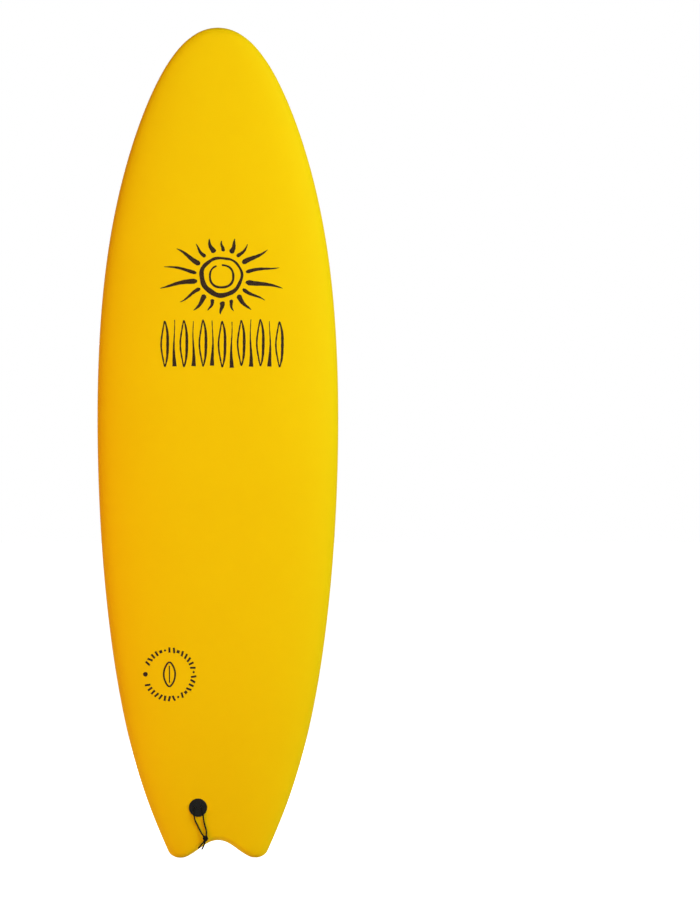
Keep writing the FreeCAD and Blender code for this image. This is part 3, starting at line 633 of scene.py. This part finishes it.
                        # black outside the mark, tone on tone inside it
                        grown = in_mark(piece[:, 0], piece[:, 1], -4.5)
                        for sel, ink, f in ((~grown, black, 1.0), (in_mark(piece[:, 0], piece[:, 1], -3.0), tone, 0.85)):
                            j = np.where(sel)[0]
                            if len(j) > 1:
                                for rr in np.split(j, np.where(np.diff(j) > 1)[0] + 1):
                                    if len(rr) > 1:
                                        ink.ribbon(piece[rr], W[rr] * f)
    print("pattern points", black.n, tone.n, "triangles", sum(len(f) - 2 for f in black.faces))
    return black.build("print_black"), tone.build("print_tone")


def build_mark():
    ink = Ink("bottom", 0.16)
    ink.disc(SUN[0], SUN[1], SUN[2], rings=18, seg=120)
    for bz, bh, bw in BARS:
        xs = np.linspace(-bw, bw, 41)
        rows = []
        for q in np.linspace(-1, 1, 9):
            # round ends
            end = np.sqrt(np.clip(1 - q * q, 0, 1)) * bh / 2 + (bw - bh / 2)
            x = xs / bw * end
            rows.append(np.stack([SUN[0] + x, bz + 2.2 * np.sin(x / 19.0) + q * bh / 2], 1))
        ink.patch(np.array(rows))
    # a column of plain dashes and dots towards the tail
    x0 = 12.0
    z = 626.0
    for k, l in enumerate([18, 6, 24, 6, 18, 24, 6, 16, 28, 6, 22, 16, 24, 6, 20]):
        w = 10.0
        rows = [np.stack([np.linspace(x0 - w, x0 + w, 5), np.full(5, z - q)], 1) for q in np.linspace(0, l * 0.55, 4)]
        ink.patch(np.array(rows))
        z -= l * 0.55 + 8.0
        if z < 394:
            break
    return ink.build("print_mark")


# ------------------------------------------------------------------ the deck's printed marks, generic
def build_deck_print():
    rng = random.Random(7)
    ink = Ink("deck", 0.16)
    cx, cz = 8.0, 1284.0
    # sun: hand-drawn disc line and tapered rays
    a = np.linspace(0.3, 0.3 + 2 * math.pi * 1.01, 90)
    r = 41 + 0.9 * np.sin(3 * a) + 0.6 * np.sin(7 * a + 1)
    P = np.stack([cx + r * np.cos(a) * 1.08, cz + r * np.sin(a)], 1)
    W = 8.2 + 3.2 * np.cos(a + 2.3) + 0.5 * np.sin(a * 11)
    ink.ribbon(P, W)
    a = np.linspace(0, 2 * math.pi * 0.93, 60)
    r = 25 + 0.6 * np.sin(4 * a)
    ink.ribbon(np.stack([cx + r * np.cos(a + 2) * 1.06, cz + r * np.sin(a + 2)], 1), 3.6 + 1.8 * np.sin(a / 2) + .3 * np.sin(9 * a))
    n = 18
    for k in range(n):
        t = 2 * math.pi * (k + 0.5) / n + rng.uniform(-.02, .02)
        r0 = 55 + rng.uniform(-1, 1)
        lim = 1 / math.sqrt((math.cos(t) / 142) ** 2 + (math.sin(t) / 84) ** 2)
        r1 = lim * (1.0 if k % 2 else 0.93)
        s = np.linspace(0, 1, 26)
        bow = 2.2 * np.sin(s * 5 + k)
        rr = r0 + (r1 - r0) * s
        P = np.stack([cx + rr * math.cos(t) - bow * math.sin(t), cz + rr * math.sin(t) + bow * math.cos(t)], 1)
        W = (11.6 if k % 2 else 8.2) * (1 - s) ** 0.7 * np.clip(s / 0.06, 0.35, 1) + 0.8 + .3 * np.sin(s * 31 + k)
        ink.ribbon(P, W)
    # band of tall lens shapes and ticks under it
    x0, x1, zt, zb = -128.0, 146.0, 1190.0, 1082.0
    m = 13
    for k in range(m):
        x = x0 + (x1 - x0) * (k + 0.5) / m
        s = np.linspace(0, 1, 34)
        top, bot = zt - rng.uniform(0, 6), zb + rng.uniform(0, 6)
        zz = top + (bot - top) * s
        if k % 2 == 0:
            for sgn in (-1, 1):
                bow = 7.2 * np.sin(np.pi * s) ** 0.8 * sgn
                W = 2.8 + (3.4 if sgn > 0 else 1.0) * np.sin(np.pi * s) + .35 * np.sin(s * 40 + k)
                ink.ribbon(np.stack([x + bow + .6 * np.sin(s * 9), zz], 1), W)
        else:
            W = 1.8 + 8.0 * s ** 2.2 + .3 * np.sin(s * 37 + k)
            ink.ribbon(np.stack([x + 1.0 * np.sin(s * 6 + k), zz], 1), W)
    # round badge: a ring of ticks and a plain board outline
    bx, bz = -107.0, 406.5
    n = 34
    for k in range(n):
        t = 2 * math.pi * (k + 0.5) / n
        if math.cos(t) < -0.93:
            continue
        # letters' weight, without letters: uprights, slants and dots, in turn
        kind = rng.choice("IIIVVHo") if k % 9 else "."
        if kind == ".":
            ink.disc(bx + 53.5 * math.cos(t), bz + 53.5 * math.sin(t), 2.5, rings=2, seg=14)
            continue
        bars = {"I": [(0, 0)], "V": [(-1.9, 1.5)], "H": [(1.6, -1.8)], "o": [(0, 0)]}[kind]
        r0, r1 = (50.2, 56.8) if kind == "o" else (47.8, 59.4)
        for a0, a1 in bars:
            s = np.linspace(0, 1, 5)
            rr, aa = r0 + (r1 - r0) * s, t + (a0 + (a1 - a0) * s) / 53.5
            ink.ribbon(np.stack([bx + rr * np.cos(aa), bz + rr * np.sin(aa)], 1), np.full(5, 6.6 if kind == "o" else 4.5))
    ink.disc(bx - 53.0, bz, 5.2, rings=3, seg=24)
    s = np.linspace(0, 1, 60)
    for sgn in (-1, 1):
        half = 12.6 * np.sin(np.pi * s) ** 0.62
        ink.ribbon(np.stack([bx + sgn * half, bz - 27 + 54 * s], 1), np.full(60, 3.9))
    s = np.linspace(0, 1, 20)
    ink.ribbon(np.stack([np.full(20, bx), bz - 19 + 38 * s], 1), np.full(20, 2.6))
    return ink.build("deck_print")


# ------------------------------------------------------------------ leash string
S_ = 0.02689                                    # the plug's axis leans with the deck
_n = math.sqrt(1 + S_ * S_)
P_OUT, P_LNG = np.array([0, -1 / _n, S_ / _n]), np.array([0, S_ / _n, 1 / _n])
P_TOP = np.array([-44.0, -63.99864, 112.6])


def plug_at(u, v, h):
    return P_TOP + np.array([1.0, 0, 0]) * u + P_LNG * v + P_OUT * h


LIFT, PITCH = 4.3, 7.5
STRAND_A = [(-52.9, -68.73, 102.6), (-52.4, -68.83, 92.6), (-49.6, -65.72, 82.4), (-44.9, -64.45, 73.0), (-40.3, -64.42, 63.6),
            (-35.6, -65.27, 54.9), (-30.0, -66.49, 47.4)]
STRAND_B = [(-34.3, -69.03, 103.2), (-32.6, -68.72, 94.4), (-31.5, -65.96, 84.0), (-29.1, -64.76, 73.8), (-26.4, -64.65, 64.2),
            (-25.4, -65.47, 54.6), (-26.4, -66.5, 46.6)]
TAIL_A = [(-28.4, -66.48, 42.6), (-32.6, -65.63, 35.6), (-37.9, -64.74, 29.4), (-42.3, -64.24, 23.6)]
TAIL_B = [(-27.4, -67.09, 42.0), (-29.3, -66.87, 34.6), (-32.0, -66.24, 27.6), (-35.2, -65.79, 21.4)]
KNOT = np.array([-27.6, -67.49, 44.6])


def smooth_path(points, step=0.5):
    P = np.asarray(points, float)
    P = np.vstack([2 * P[0] - P[1], P, 2 * P[-1] - P[-2]])
    out = []
    for i in range(1, len(P) - 2):
        p0, p1, p2, p3 = P[i - 1:i + 3]
        n = max(2, int(np.linalg.norm(p2 - p1) / step))
        t = np.linspace(0, 1, n, endpoint=False)[:, None]
        out.append(0.5 * (2 * p1 + (p2 - p0) * t + (2 * p0 - 5 * p1 + 4 * p2 - p3) * t ** 2 + (3 * p1 - p0 - 3 * p2 + p3) * t ** 3))
    out.append(P[-2][None])
    return np.vstack(out)


def frames(P, closed=False):
    # frames carried along a path without twist
    T = np.gradient(P, axis=0)
    if closed:
        T = np.roll(P, -1, 0) - np.roll(P, 1, 0)
    T /= np.linalg.norm(T, axis=1)[:, None]
    ref = np.array([0, 1.0, 0]) if abs(T[0][1]) < 0.9 else np.array([1.0, 0, 0])
    n = ref - T[0] * ref.dot(T[0])
    n /= np.linalg.norm(n)
    N = [n]
    for i in range(1, len(P)):
        n = N[-1] - T[i] * N[-1].dot(T[i])
        N.append(n / np.linalg.norm(n))
    N = np.array(N)
    return T, N, np.cross(T, N)


def braid(name, P, r=1.72, seg=20, closed=False, cap0=True, cap1=True, plait=5.2, deep=0.13):
    # a round plaited cord: two sets of strands crossing over each other
    T, N, B = frames(P, closed)
    s = arc_length(P)
    if closed:
        total = s[-1] + np.linalg.norm(P[0] - P[-1])
        plait = total / max(1, round(total / plait))
    th = np.linspace(0, 2 * np.pi, seg, endpoint=False)
    w = 2 * np.pi * s[:, None] / plait
    a, b = np.cos(4 * th[None] + w), np.cos(4 * th[None] - w)
    rad = r * (1 - deep + deep * np.maximum(np.abs(a), np.abs(b)))
    V = P[:, None] + rad[..., None] * (np.cos(th)[None, :, None] * N[:, None] + np.sin(th)[None, :, None] * B[:, None])
    rows = [V]
    pre, post = [], []
    if not closed:
        for k in (0.95, 0.8, 0.55, 0.25):
            c = math.sqrt(1 - k * k)
            if cap0:
                pre.append(P[0] - T[0] * r * k + (V[0] - P[0]) * c)
            if cap1:
                post.append(P[-1] + T[-1] * r * k + (V[-1] - P[-1]) * c)
    grid = np.concatenate([np.array(pre).reshape(-1, seg, 3), V, np.array(post[::-1]).reshape(-1, seg, 3)])
    m = len(grid)
    verts = grid.reshape(-1, 3)
    faces = grid_faces(m, seg, wrap=True)
    if closed:
        for c in range(seg):
            faces.append(((m - 1) * seg + c, (m - 1) * seg + (c + 1) % seg, (c + 1) % seg, c))
    else:
        faces.append(tuple(range(seg))[::-1])
        faces.append(tuple((m - 1) * seg + c for c in range(seg)))
    ob = mesh_object(name, verts * MM, faces)
    tidy(ob)
    return ob


def tidy(ob):
    import bmesh
    bm = bmesh.new()
    bm.from_mesh(ob.data)
    bmesh.ops.recalc_face_normals(bm, faces=bm.faces)
    bm.to_mesh(ob.data)
    bm.free()


def build_string():
    hl, hr = plug_at(-PITCH, 0, LIFT), plug_at(PITCH, 0, LIFT)
    out = []
    for name, h, strand, tail, turn in (("string_a", hl, STRAND_A, TAIL_A, 1), ("string_b", hr, STRAND_B, TAIL_B, -1)):
        P = smooth_path([h] + strand + [KNOT + np.array([turn * 0.9, 0.4 * turn, 0])] + tail)
        ob = braid(name, P)
        length = float(arc_length(P)[-1]) + 3.0
        out.append((ob, P, h, length))
    # knot: both strands turned once round themselves
    t = np.linspace(0, 2 * np.pi, 150, endpoint=False)
    knots = []
    for name, rot, off, sc in (("knot_a", 0.35, -1.1, 1.62), ("knot_b", 1.45, 1.1, 1.5)):
        x, z, y = np.sin(t) + 2 * np.sin(2 * t), np.cos(t) - 2 * np.cos(2 * t), -1.05 * np.sin(3 * t)
        c, s = math.cos(rot), math.sin(rot)
        P = np.stack([(x * c - z * s) * sc, y * sc + off, (x * s + z * c) * sc * 1.05], 1) + KNOT
        knots.append(braid(name, P, closed=True, r=1.58))
    # the string's turn inside the plug
    a, b = plug_at(-PITCH, 0, -6), plug_at(PITCH, 0, -6)
    arc = [plug_at(-PITCH * math.cos(q), 0, -6 - PITCH * math.sin(q)) for q in np.linspace(0, math.pi, 25)[1:-1]]
    P = smooth_path([hl, plug_at(-PITCH, 0, 1.5), plug_at(-PITCH, 0, -2), a] + arc + [b, plug_at(PITCH, 0, -2), plug_at(PITCH, 0, 1.5), hr])
    anchor = braid("string_turn", P, cap0=True, cap1=True)
    return out, knots, anchor


def build_lip():
    # the foam's cut edge standing up a little round the plug's disc
    seg, prof = 96, 12
    V = []
    for i in range(seg):
        a = 2 * math.pi * i / seg
        for j in range(prof):
            q = math.pi * j / (prof - 1)
            r = 21.6 - 1.7 * math.cos(q) * (1 + .02 * math.sin(9 * a))
            x, z = -44 + r * math.cos(a), 112.6 + r * math.sin(a)
            V.append((x, deck_y(x, z) - 0.75 * math.sin(q) + 0.05, z))
    n = len(V)
    faces = []
    for i in range(seg):
        for j in range(prof):
            a, b = i * prof + j, i * prof + (j + 1) % prof
            c, d = ((i + 1) % seg) * prof + (j + 1) % prof, ((i + 1) % seg) * prof + j
            faces.append((a, b, c, d))
    ob = mesh_object("foam_lip", np.array([[float(v) for v in p] for p in V]) * MM, faces)
    tidy(ob)
    return ob


strings, knots, string_turn = build_string()
foam_lip = build_lip()
foam = build_foam()
sheet = build_sheet()
print_black, print_tone = build_pattern()
print_mark = build_mark()
deck_print = build_deck_print()


# ------------------------------------------------------------------ materials
def new_material(name, color, rough=0.5, metallic=0.0):
    m = bpy.data.materials.new(name)
    m.use_nodes = True
    nt = m.node_tree
    b = nt.nodes["Principled BSDF"]
    b.inputs["Base Color"].default_value = (*color, 1)
    b.inputs["Roughness"].default_value = rough
    b.inputs["Metallic"].default_value = metallic
    return m, nt, b


def node(nt, kind, **kw):
    n = nt.nodes.new(kind)
    for k, v in kw.items():
        if k in n.inputs:
            n.inputs[k].default_value = v
        else:
            setattr(n, k, v)
    return n


def coords(nt):
    return node(nt, "ShaderNodeTexCoord").outputs["Object"]


def noise(nt, scale, detail=4.0, rough=0.5, vec=None):
    n = node(nt, "ShaderNodeTexNoise", Scale=scale, Detail=detail, Roughness=rough)
    nt.links.new(vec if vec is not None else coords(nt), n.inputs["Vector"])
    return n.outputs["Fac"]


def ramp(nt, fac, stops):
    r = node(nt, "ShaderNodeValToRGB")
    e = r.color_ramp.elements
    while len(e) < len(stops):
        e.new(0.5)
    for k, (p, c) in enumerate(stops):
        e[k].position = p
        e[k].color = (*c, 1) if len(c) == 3 else c
    nt.links.new(fac, r.inputs["Fac"])
    return r.outputs["Color"]


def bump(nt, b, height, strength, distance, chain=None):
    n = node(nt, "ShaderNodeBump", Strength=strength, Distance=distance)
    nt.links.new(height, n.inputs["Height"])
    if chain is not None:
        nt.links.new(chain, n.inputs["Normal"])
    nt.links.new(n.outputs["Normal"], b.inputs["Normal"])
    return n.outputs["Normal"]


def remap(nt, fac, lo, hi):
    n = node(nt, "ShaderNodeMapRange")
    n.inputs["To Min"].default_value = lo
    n.inputs["To Max"].default_value = hi
    nt.links.new(fac, n.inputs["Value"])
    return n.outputs["Result"]


def foam_material(name="foam_yellow", tint=1.0):
    m, nt, b = new_material(name, (0.93, 0.57, 0.0004), 0.6)
    c = ramp(nt, noise(nt, 5.5, 3.0, 0.6), [(0.3, tuple(tint * x for x in (0.925, 0.560, 0.0003))), (0.7, tuple(tint * x for x in (0.94, 0.578, 0.0006)))])
    nt.links.new(c, b.inputs["Base Color"])
    r = remap(nt, noise(nt, 60.0, 3.0), 0.54, 0.66)
    nt.links.new(r, b.inputs["Roughness"])
    b.inputs["Specular IOR Level"].default_value = 0.32
    b.inputs["Specular Tint"].default_value = (1.0, 0.78, 0.12, 1)
    v = node(nt, "ShaderNodeTexVoronoi", Scale=520.0)
    nt.links.new(coords(nt), v.inputs["Vector"])
    n1 = bump(nt, b, v.outputs["Distance"], 0.10, 0.0004)
    bump(nt, b, noise(nt, 14.0, 3.0, 0.55), 0.10, 0.003, n1)
    return m


def sheet_material():
    m, nt, b = new_material("sheet_white", (0.86, 0.855, 0.84), 0.26)
    c = ramp(nt, noise(nt, 7.0, 2.0), [(0.3, (0.85, 0.845, 0.83)), (0.7, (0.885, 0.88, 0.865))])
    nt.links.new(c, b.inputs["Base Color"])
    nt.links.new(remap(nt, noise(nt, 40.0, 3.0), 0.2, 0.32), b.inputs["Roughness"])
    bump(nt, b, noise(nt, 9.0, 2.0, 0.5), 0.12, 0.004)
    return m


def ink_material(name, dark, light, rough, scale=260.0):
    m, nt, b = new_material(name, dark, rough)
    b.inputs["Specular IOR Level"].default_value = 0.1
    c = ramp(nt, noise(nt, scale, 4.0, 0.7), [(0.42, dark), (0.72, light)])
    nt.links.new(c, b.inputs["Base Color"])
    nt.links.new(remap(nt, noise(nt, 120.0, 2.0), rough - 0.05, rough + 0.07), b.inputs["Roughness"])
    bump(nt, b, noise(nt, 9.0, 2.0, 0.5), 0.10, 0.004)
    return m


def moulded_material(name, color, rough, grain=900.0, depth=0.00012):
    m, nt, b = new_material(name, color, rough)
    b.inputs["Specular IOR Level"].default_value = 0.4
    c = ramp(nt, noise(nt, 30.0, 3.0), [(0.3, tuple(0.85 * x for x in color)), (0.7, tuple(1.2 * x for x in color))])
    nt.links.new(c, b.inputs["Base Color"])
    nt.links.new(remap(nt, noise(nt, 75.0, 3.0), rough - 0.06, rough + 0.08), b.inputs["Roughness"])
    n1 = bump(nt, b, noise(nt, grain, 2.0), 0.25, depth)
    bump(nt, b, noise(nt, 22.0, 2.0), 0.10, 0.0012, n1)
    return m


def cord_material():
    m, nt, b = new_material("string_black", (0.006, 0.006, 0.006), 0.7)
    b.inputs["Specular IOR Level"].default_value = 0.12
    v = node(nt, "ShaderNodeTexVoronoi", Scale=1500.0)
    nt.links.new(coords(nt), v.inputs["Vector"])
    c = ramp(nt, v.outputs["Distance"], [(0.1, (0.004, 0.004, 0.004)), (0.6, (0.012, 0.012, 0.012))])
    nt.links.new(c, b.inputs["Base Color"])
    bump(nt, b, v.outputs["Distance"], 0.6, 0.0003)
    return m


def metal_material(name, color, rough):
    m, nt, b = new_material(name, color, rough, 1.0)
    nt.links.new(remap(nt, noise(nt, 700.0, 2.0), rough - 0.08, rough + 0.1), b.inputs["Roughness"])
    bump(nt, b, noise(nt, 400.0, 2.0), 0.08, 0.0001)
    return m


def wood_material():
    m, nt, b = new_material("stringer_wood", (0.55, 0.36, 0.2), 0.6)
    mp = node(nt, "ShaderNodeMapping")
    mp.inputs["Scale"].default_value = (60, 60, 3)
    nt.links.new(coords(nt), mp.inputs["Vector"])
    f = noise(nt, 3.0, 6.0, 0.6, mp.outputs["Vector"])
    nt.links.new(ramp(nt, f, [(0.3, (0.42, 0.26, 0.13)), (0.7, (0.66, 0.46, 0.27))]), b.inputs["Base Color"])
    bump(nt, b, f, 0.2, 0.0004)
    return m


def bead_material():
    m, nt, b = new_material("core_beads", (0.9, 0.9, 0.88), 0.7)
    v = node(nt, "ShaderNodeTexVoronoi", Scale=260.0)
    nt.links.new(coords(nt), v.inputs["Vector"])
    nt.links.new(ramp(nt, v.outputs["Distance"], [(0.2, (0.92, 0.92, 0.9)), (0.7, (0.8, 0.8, 0.78))]), b.inputs["Base Color"])
    bump(nt, b, v.outputs["Distance"], 0.4, 0.001)
    return m


M_FOAM, M_SHEET = foam_material(), sheet_material()
M_INK = ink_material("ink_black", (0.0035, 0.0032, 0.003), (0.0065, 0.006, 0.0055), 0.5)
M_TONE = ink_material("ink_tone", (0.50, 0.205, 0.012), (0.57, 0.235, 0.016), 0.42)
M_MARK = ink_material("ink_orange", (0.74, 0.27, 0.009), (0.78, 0.29, 0.012), 0.40)
M_DECKINK = ink_material("ink_deck", (0.022, 0.012, 0.010), (0.075, 0.04, 0.02), 0.5, 340.0)
M_FIN = moulded_material("fin_black", (0.0035, 0.0035, 0.0035), 0.24)
M_PLUG = moulded_material("plug_black", (0.0035, 0.0035, 0.0038), 0.26)
M_MOUNT = moulded_material("mount_grey", (0.05, 0.05, 0.05), 0.5)
M_CORD = cord_material()
M_STEEL = metal_material("screw_dark", (0.16, 0.16, 0.17), 0.38)
M_BRASS = metal_material("insert_brass", (0.72, 0.5, 0.2), 0.35)
M_WOOD, M_CORE = wood_material(), bead_material()
M_LAYER, M_LIP = foam_material("layer_foam"), foam_material("foam_cut", 1.0)


def paint(ob, mat):
    ob.data.materials.clear()
    ob.data.materials.append(mat)


for ob, mat, slot in ((foam, M_FOAM, "deck_foam"), (sheet, M_SHEET, "bottom_sheet"), (print_black, M_INK, "bottom_sheet"),
                      (print_tone, M_TONE, "bottom_sheet"), (print_mark, M_MARK, "bottom_sheet"), (deck_print, M_DECKINK, "deck_foam")):
    paint(ob, mat)
    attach(ob, "board")
paint(foam_lip, M_LIP)
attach(foam_lip, "board")
paint(string_turn, M_CORD)
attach(string_turn, "board")
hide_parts("string_anchor")
for ob, P, h, length in strings:
    paint(ob, M_CORD)
    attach(ob, "leash_loop")
for ob in knots:
    paint(ob, M_CORD)
    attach(ob, "leash_loop")
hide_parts("string_strand_a", "string_tail_a")
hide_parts("string_strand_b", "string_tail_b")
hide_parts("string_knot")
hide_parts("deck_skin")
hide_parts("slick_sheet")

for n, ob in nodes.items():
    mat = M_FIN if n in ("fin_left", "fin_right", "fin_centre") else M_PLUG if n.startswith("leash_plug") else \
        M_MOUNT if n.startswith("fin_mount") else M_STEEL if n.startswith("fin_screws") else M_BRASS if n.startswith("fin_inserts") else \
        M_WOOD if n.startswith("stringer") else M_CORE if n.startswith("core") else M_LAYER if n == "bottom_foam" else \
        M_CORD if n.startswith("string") else M_FOAM
    ob.data.materials.clear()
    ob.data.materials.append(mat)

# ------------------------------------------------------------------ floor, lights, camera
scene = bpy.context.scene
scene.view_settings.view_transform = "Standard"
me = bpy.data.meshes.new("floor")
me.from_pydata([(-30, -30, 0), (30, -30, 0), (30, 30, 0), (-30, 30, 0)], [], [(0, 1, 2, 3)])
floor = bpy.data.objects.new("floor", me)
scene.collection.objects.link(floor)
fm, fnt, fb = new_material("floor_white", (0.82, 0.82, 0.82), 0.8)
fb.inputs["Specular IOR Level"].default_value = 0.0
fe = fnt.nodes.new("ShaderNodeEmission")
fe.inputs["Strength"].default_value = 0.94
fa = fnt.nodes.new("ShaderNodeAddShader")
fx = fnt.nodes.new("ShaderNodeMixShader")
fl = fnt.nodes.new("ShaderNodeLightPath")
fnt.links.new(fb.outputs["BSDF"], fa.inputs[0])
fnt.links.new(fe.outputs["Emission"], fa.inputs[1])
fnt.links.new(fl.outputs["Is Camera Ray"], fx.inputs["Fac"])
fnt.links.new(fb.outputs["BSDF"], fx.inputs[1])
fnt.links.new(fa.outputs["Shader"], fx.inputs[2])
fnt.links.new(fx.outputs["Shader"], fnt.nodes["Material Output"].inputs["Surface"])
paint(floor, fm)

world = bpy.data.worlds.new("world")
scene.world = world
world.use_nodes = True
wn = world.node_tree
bg = wn.nodes["Background"]
bg.inputs["Color"].default_value = (1, 1, 1, 1)
wc = wn.nodes.new("ShaderNodeTexCoord")
ws = wn.nodes.new("ShaderNodeSeparateXYZ")
wn.links.new(wc.outputs["Generated"], ws.inputs["Vector"])


def span(out, lo, hi):
    n = wn.nodes.new("ShaderNodeMapRange")
    n.inputs["From Min"].default_value = lo
    n.inputs["From Max"].default_value = hi
    wn.links.new(ws.outputs[out], n.inputs["Value"])
    return n.outputs["Result"]


across = span("X", -1.0, 1.0)
wf = ramp(wn, across, [(0.0, (0.17, 0.055, 0.025)), (1.0, (0.25, 0.15, 0.11))])
wb = ramp(wn, across, [(0.0, (0.30, 0.30, 0.30)), (1.0, (0.46, 0.46, 0.46))])
wx = wn.nodes.new("ShaderNodeMix")
wx.data_type = "RGBA"
wn.links.new(span("Y", 0.0, 0.5), wx.inputs["Factor"])
wn.links.new(wf, [q for q in wx.inputs if q.name == "A" and q.type == "RGBA"][0])
wn.links.new(wb, [q for q in wx.inputs if q.name == "B" and q.type == "RGBA"][0])
wn.links.new([q for q in wx.outputs if q.type == "RGBA"][0], bg.inputs["Color"])
bg.inputs["Strength"].default_value = 1.0
bg2 = wn.nodes.new("ShaderNodeBackground")
bg2.inputs["Color"].default_value = (1, 1, 1, 1)
bg2.inputs["Strength"].default_value = 1.0
lp = wn.nodes.new("ShaderNodeLightPath")
mx = wn.nodes.new("ShaderNodeMixShader")
wn.links.new(lp.outputs["Is Camera Ray"], mx.inputs["Fac"])
wn.links.new(bg.outputs["Background"], mx.inputs[1])
wn.links.new(bg2.outputs["Background"], mx.inputs[2])
wn.links.new(mx.outputs["Shader"], wn.nodes["World Output"].inputs["Surface"])


def area(name, loc, target, size, power, color=(1, 1, 1)):
    l = bpy.data.lights.new(name, "AREA")
    l.shape = "RECTANGLE"
    l.size, l.size_y = size
    l.energy = power
    l.color = color
    o = bpy.data.objects.new(name, l)
    o.location = loc
    o.rotation_euler = (Vector(target) - Vector(loc)).to_track_quat("-Z", "Y").to_euler()
    scene.collection.objects.link(o)
    return o


area("key", (1.9, -1.7, 1.95), (0, -0.05, 1.05), (1.1, 1.4), 48, (0.69, 1.0, 0.9))
area("front", (0.0, -3.1, 2.35), (0, -0.05, 0.7), (2.2, 1.2), 27, (0.76, 1.0, 0.92))
fill = area("fill", (-1.8, -1.7, 0.62), (0, -0.05, 0.75), (0.8, 1.1), 20, (1.0, 0.26, 0.08))
warmed = bpy.data.collections.new("warmed")     # the warm light falls on the foam alone, not on the black parts
for ob in (foam, foam_lip, deck_print):
    warmed.objects.link(ob)
fill.light_linking.receiver_collection = warmed
area("back_key", (-0.3, 3.1, 1.9), (0, 0, 0.9), (2.0, 2.0), 80)

cam_data = bpy.data.cameras.new("camera")
cam = bpy.data.objects.new("camera", cam_data)
cam_data.sensor_width = 36.0
cam_data.lens = 161.97
cam.location = (0.0, -9.0, 0.9012)
aim = Vector((0.2934, 0.0, 0.9012))
cam.rotation_euler = (aim - Vector(cam.location)).to_track_quat("-Z", "Y").to_euler()
scene.collection.objects.link(cam)
scene.camera = cam
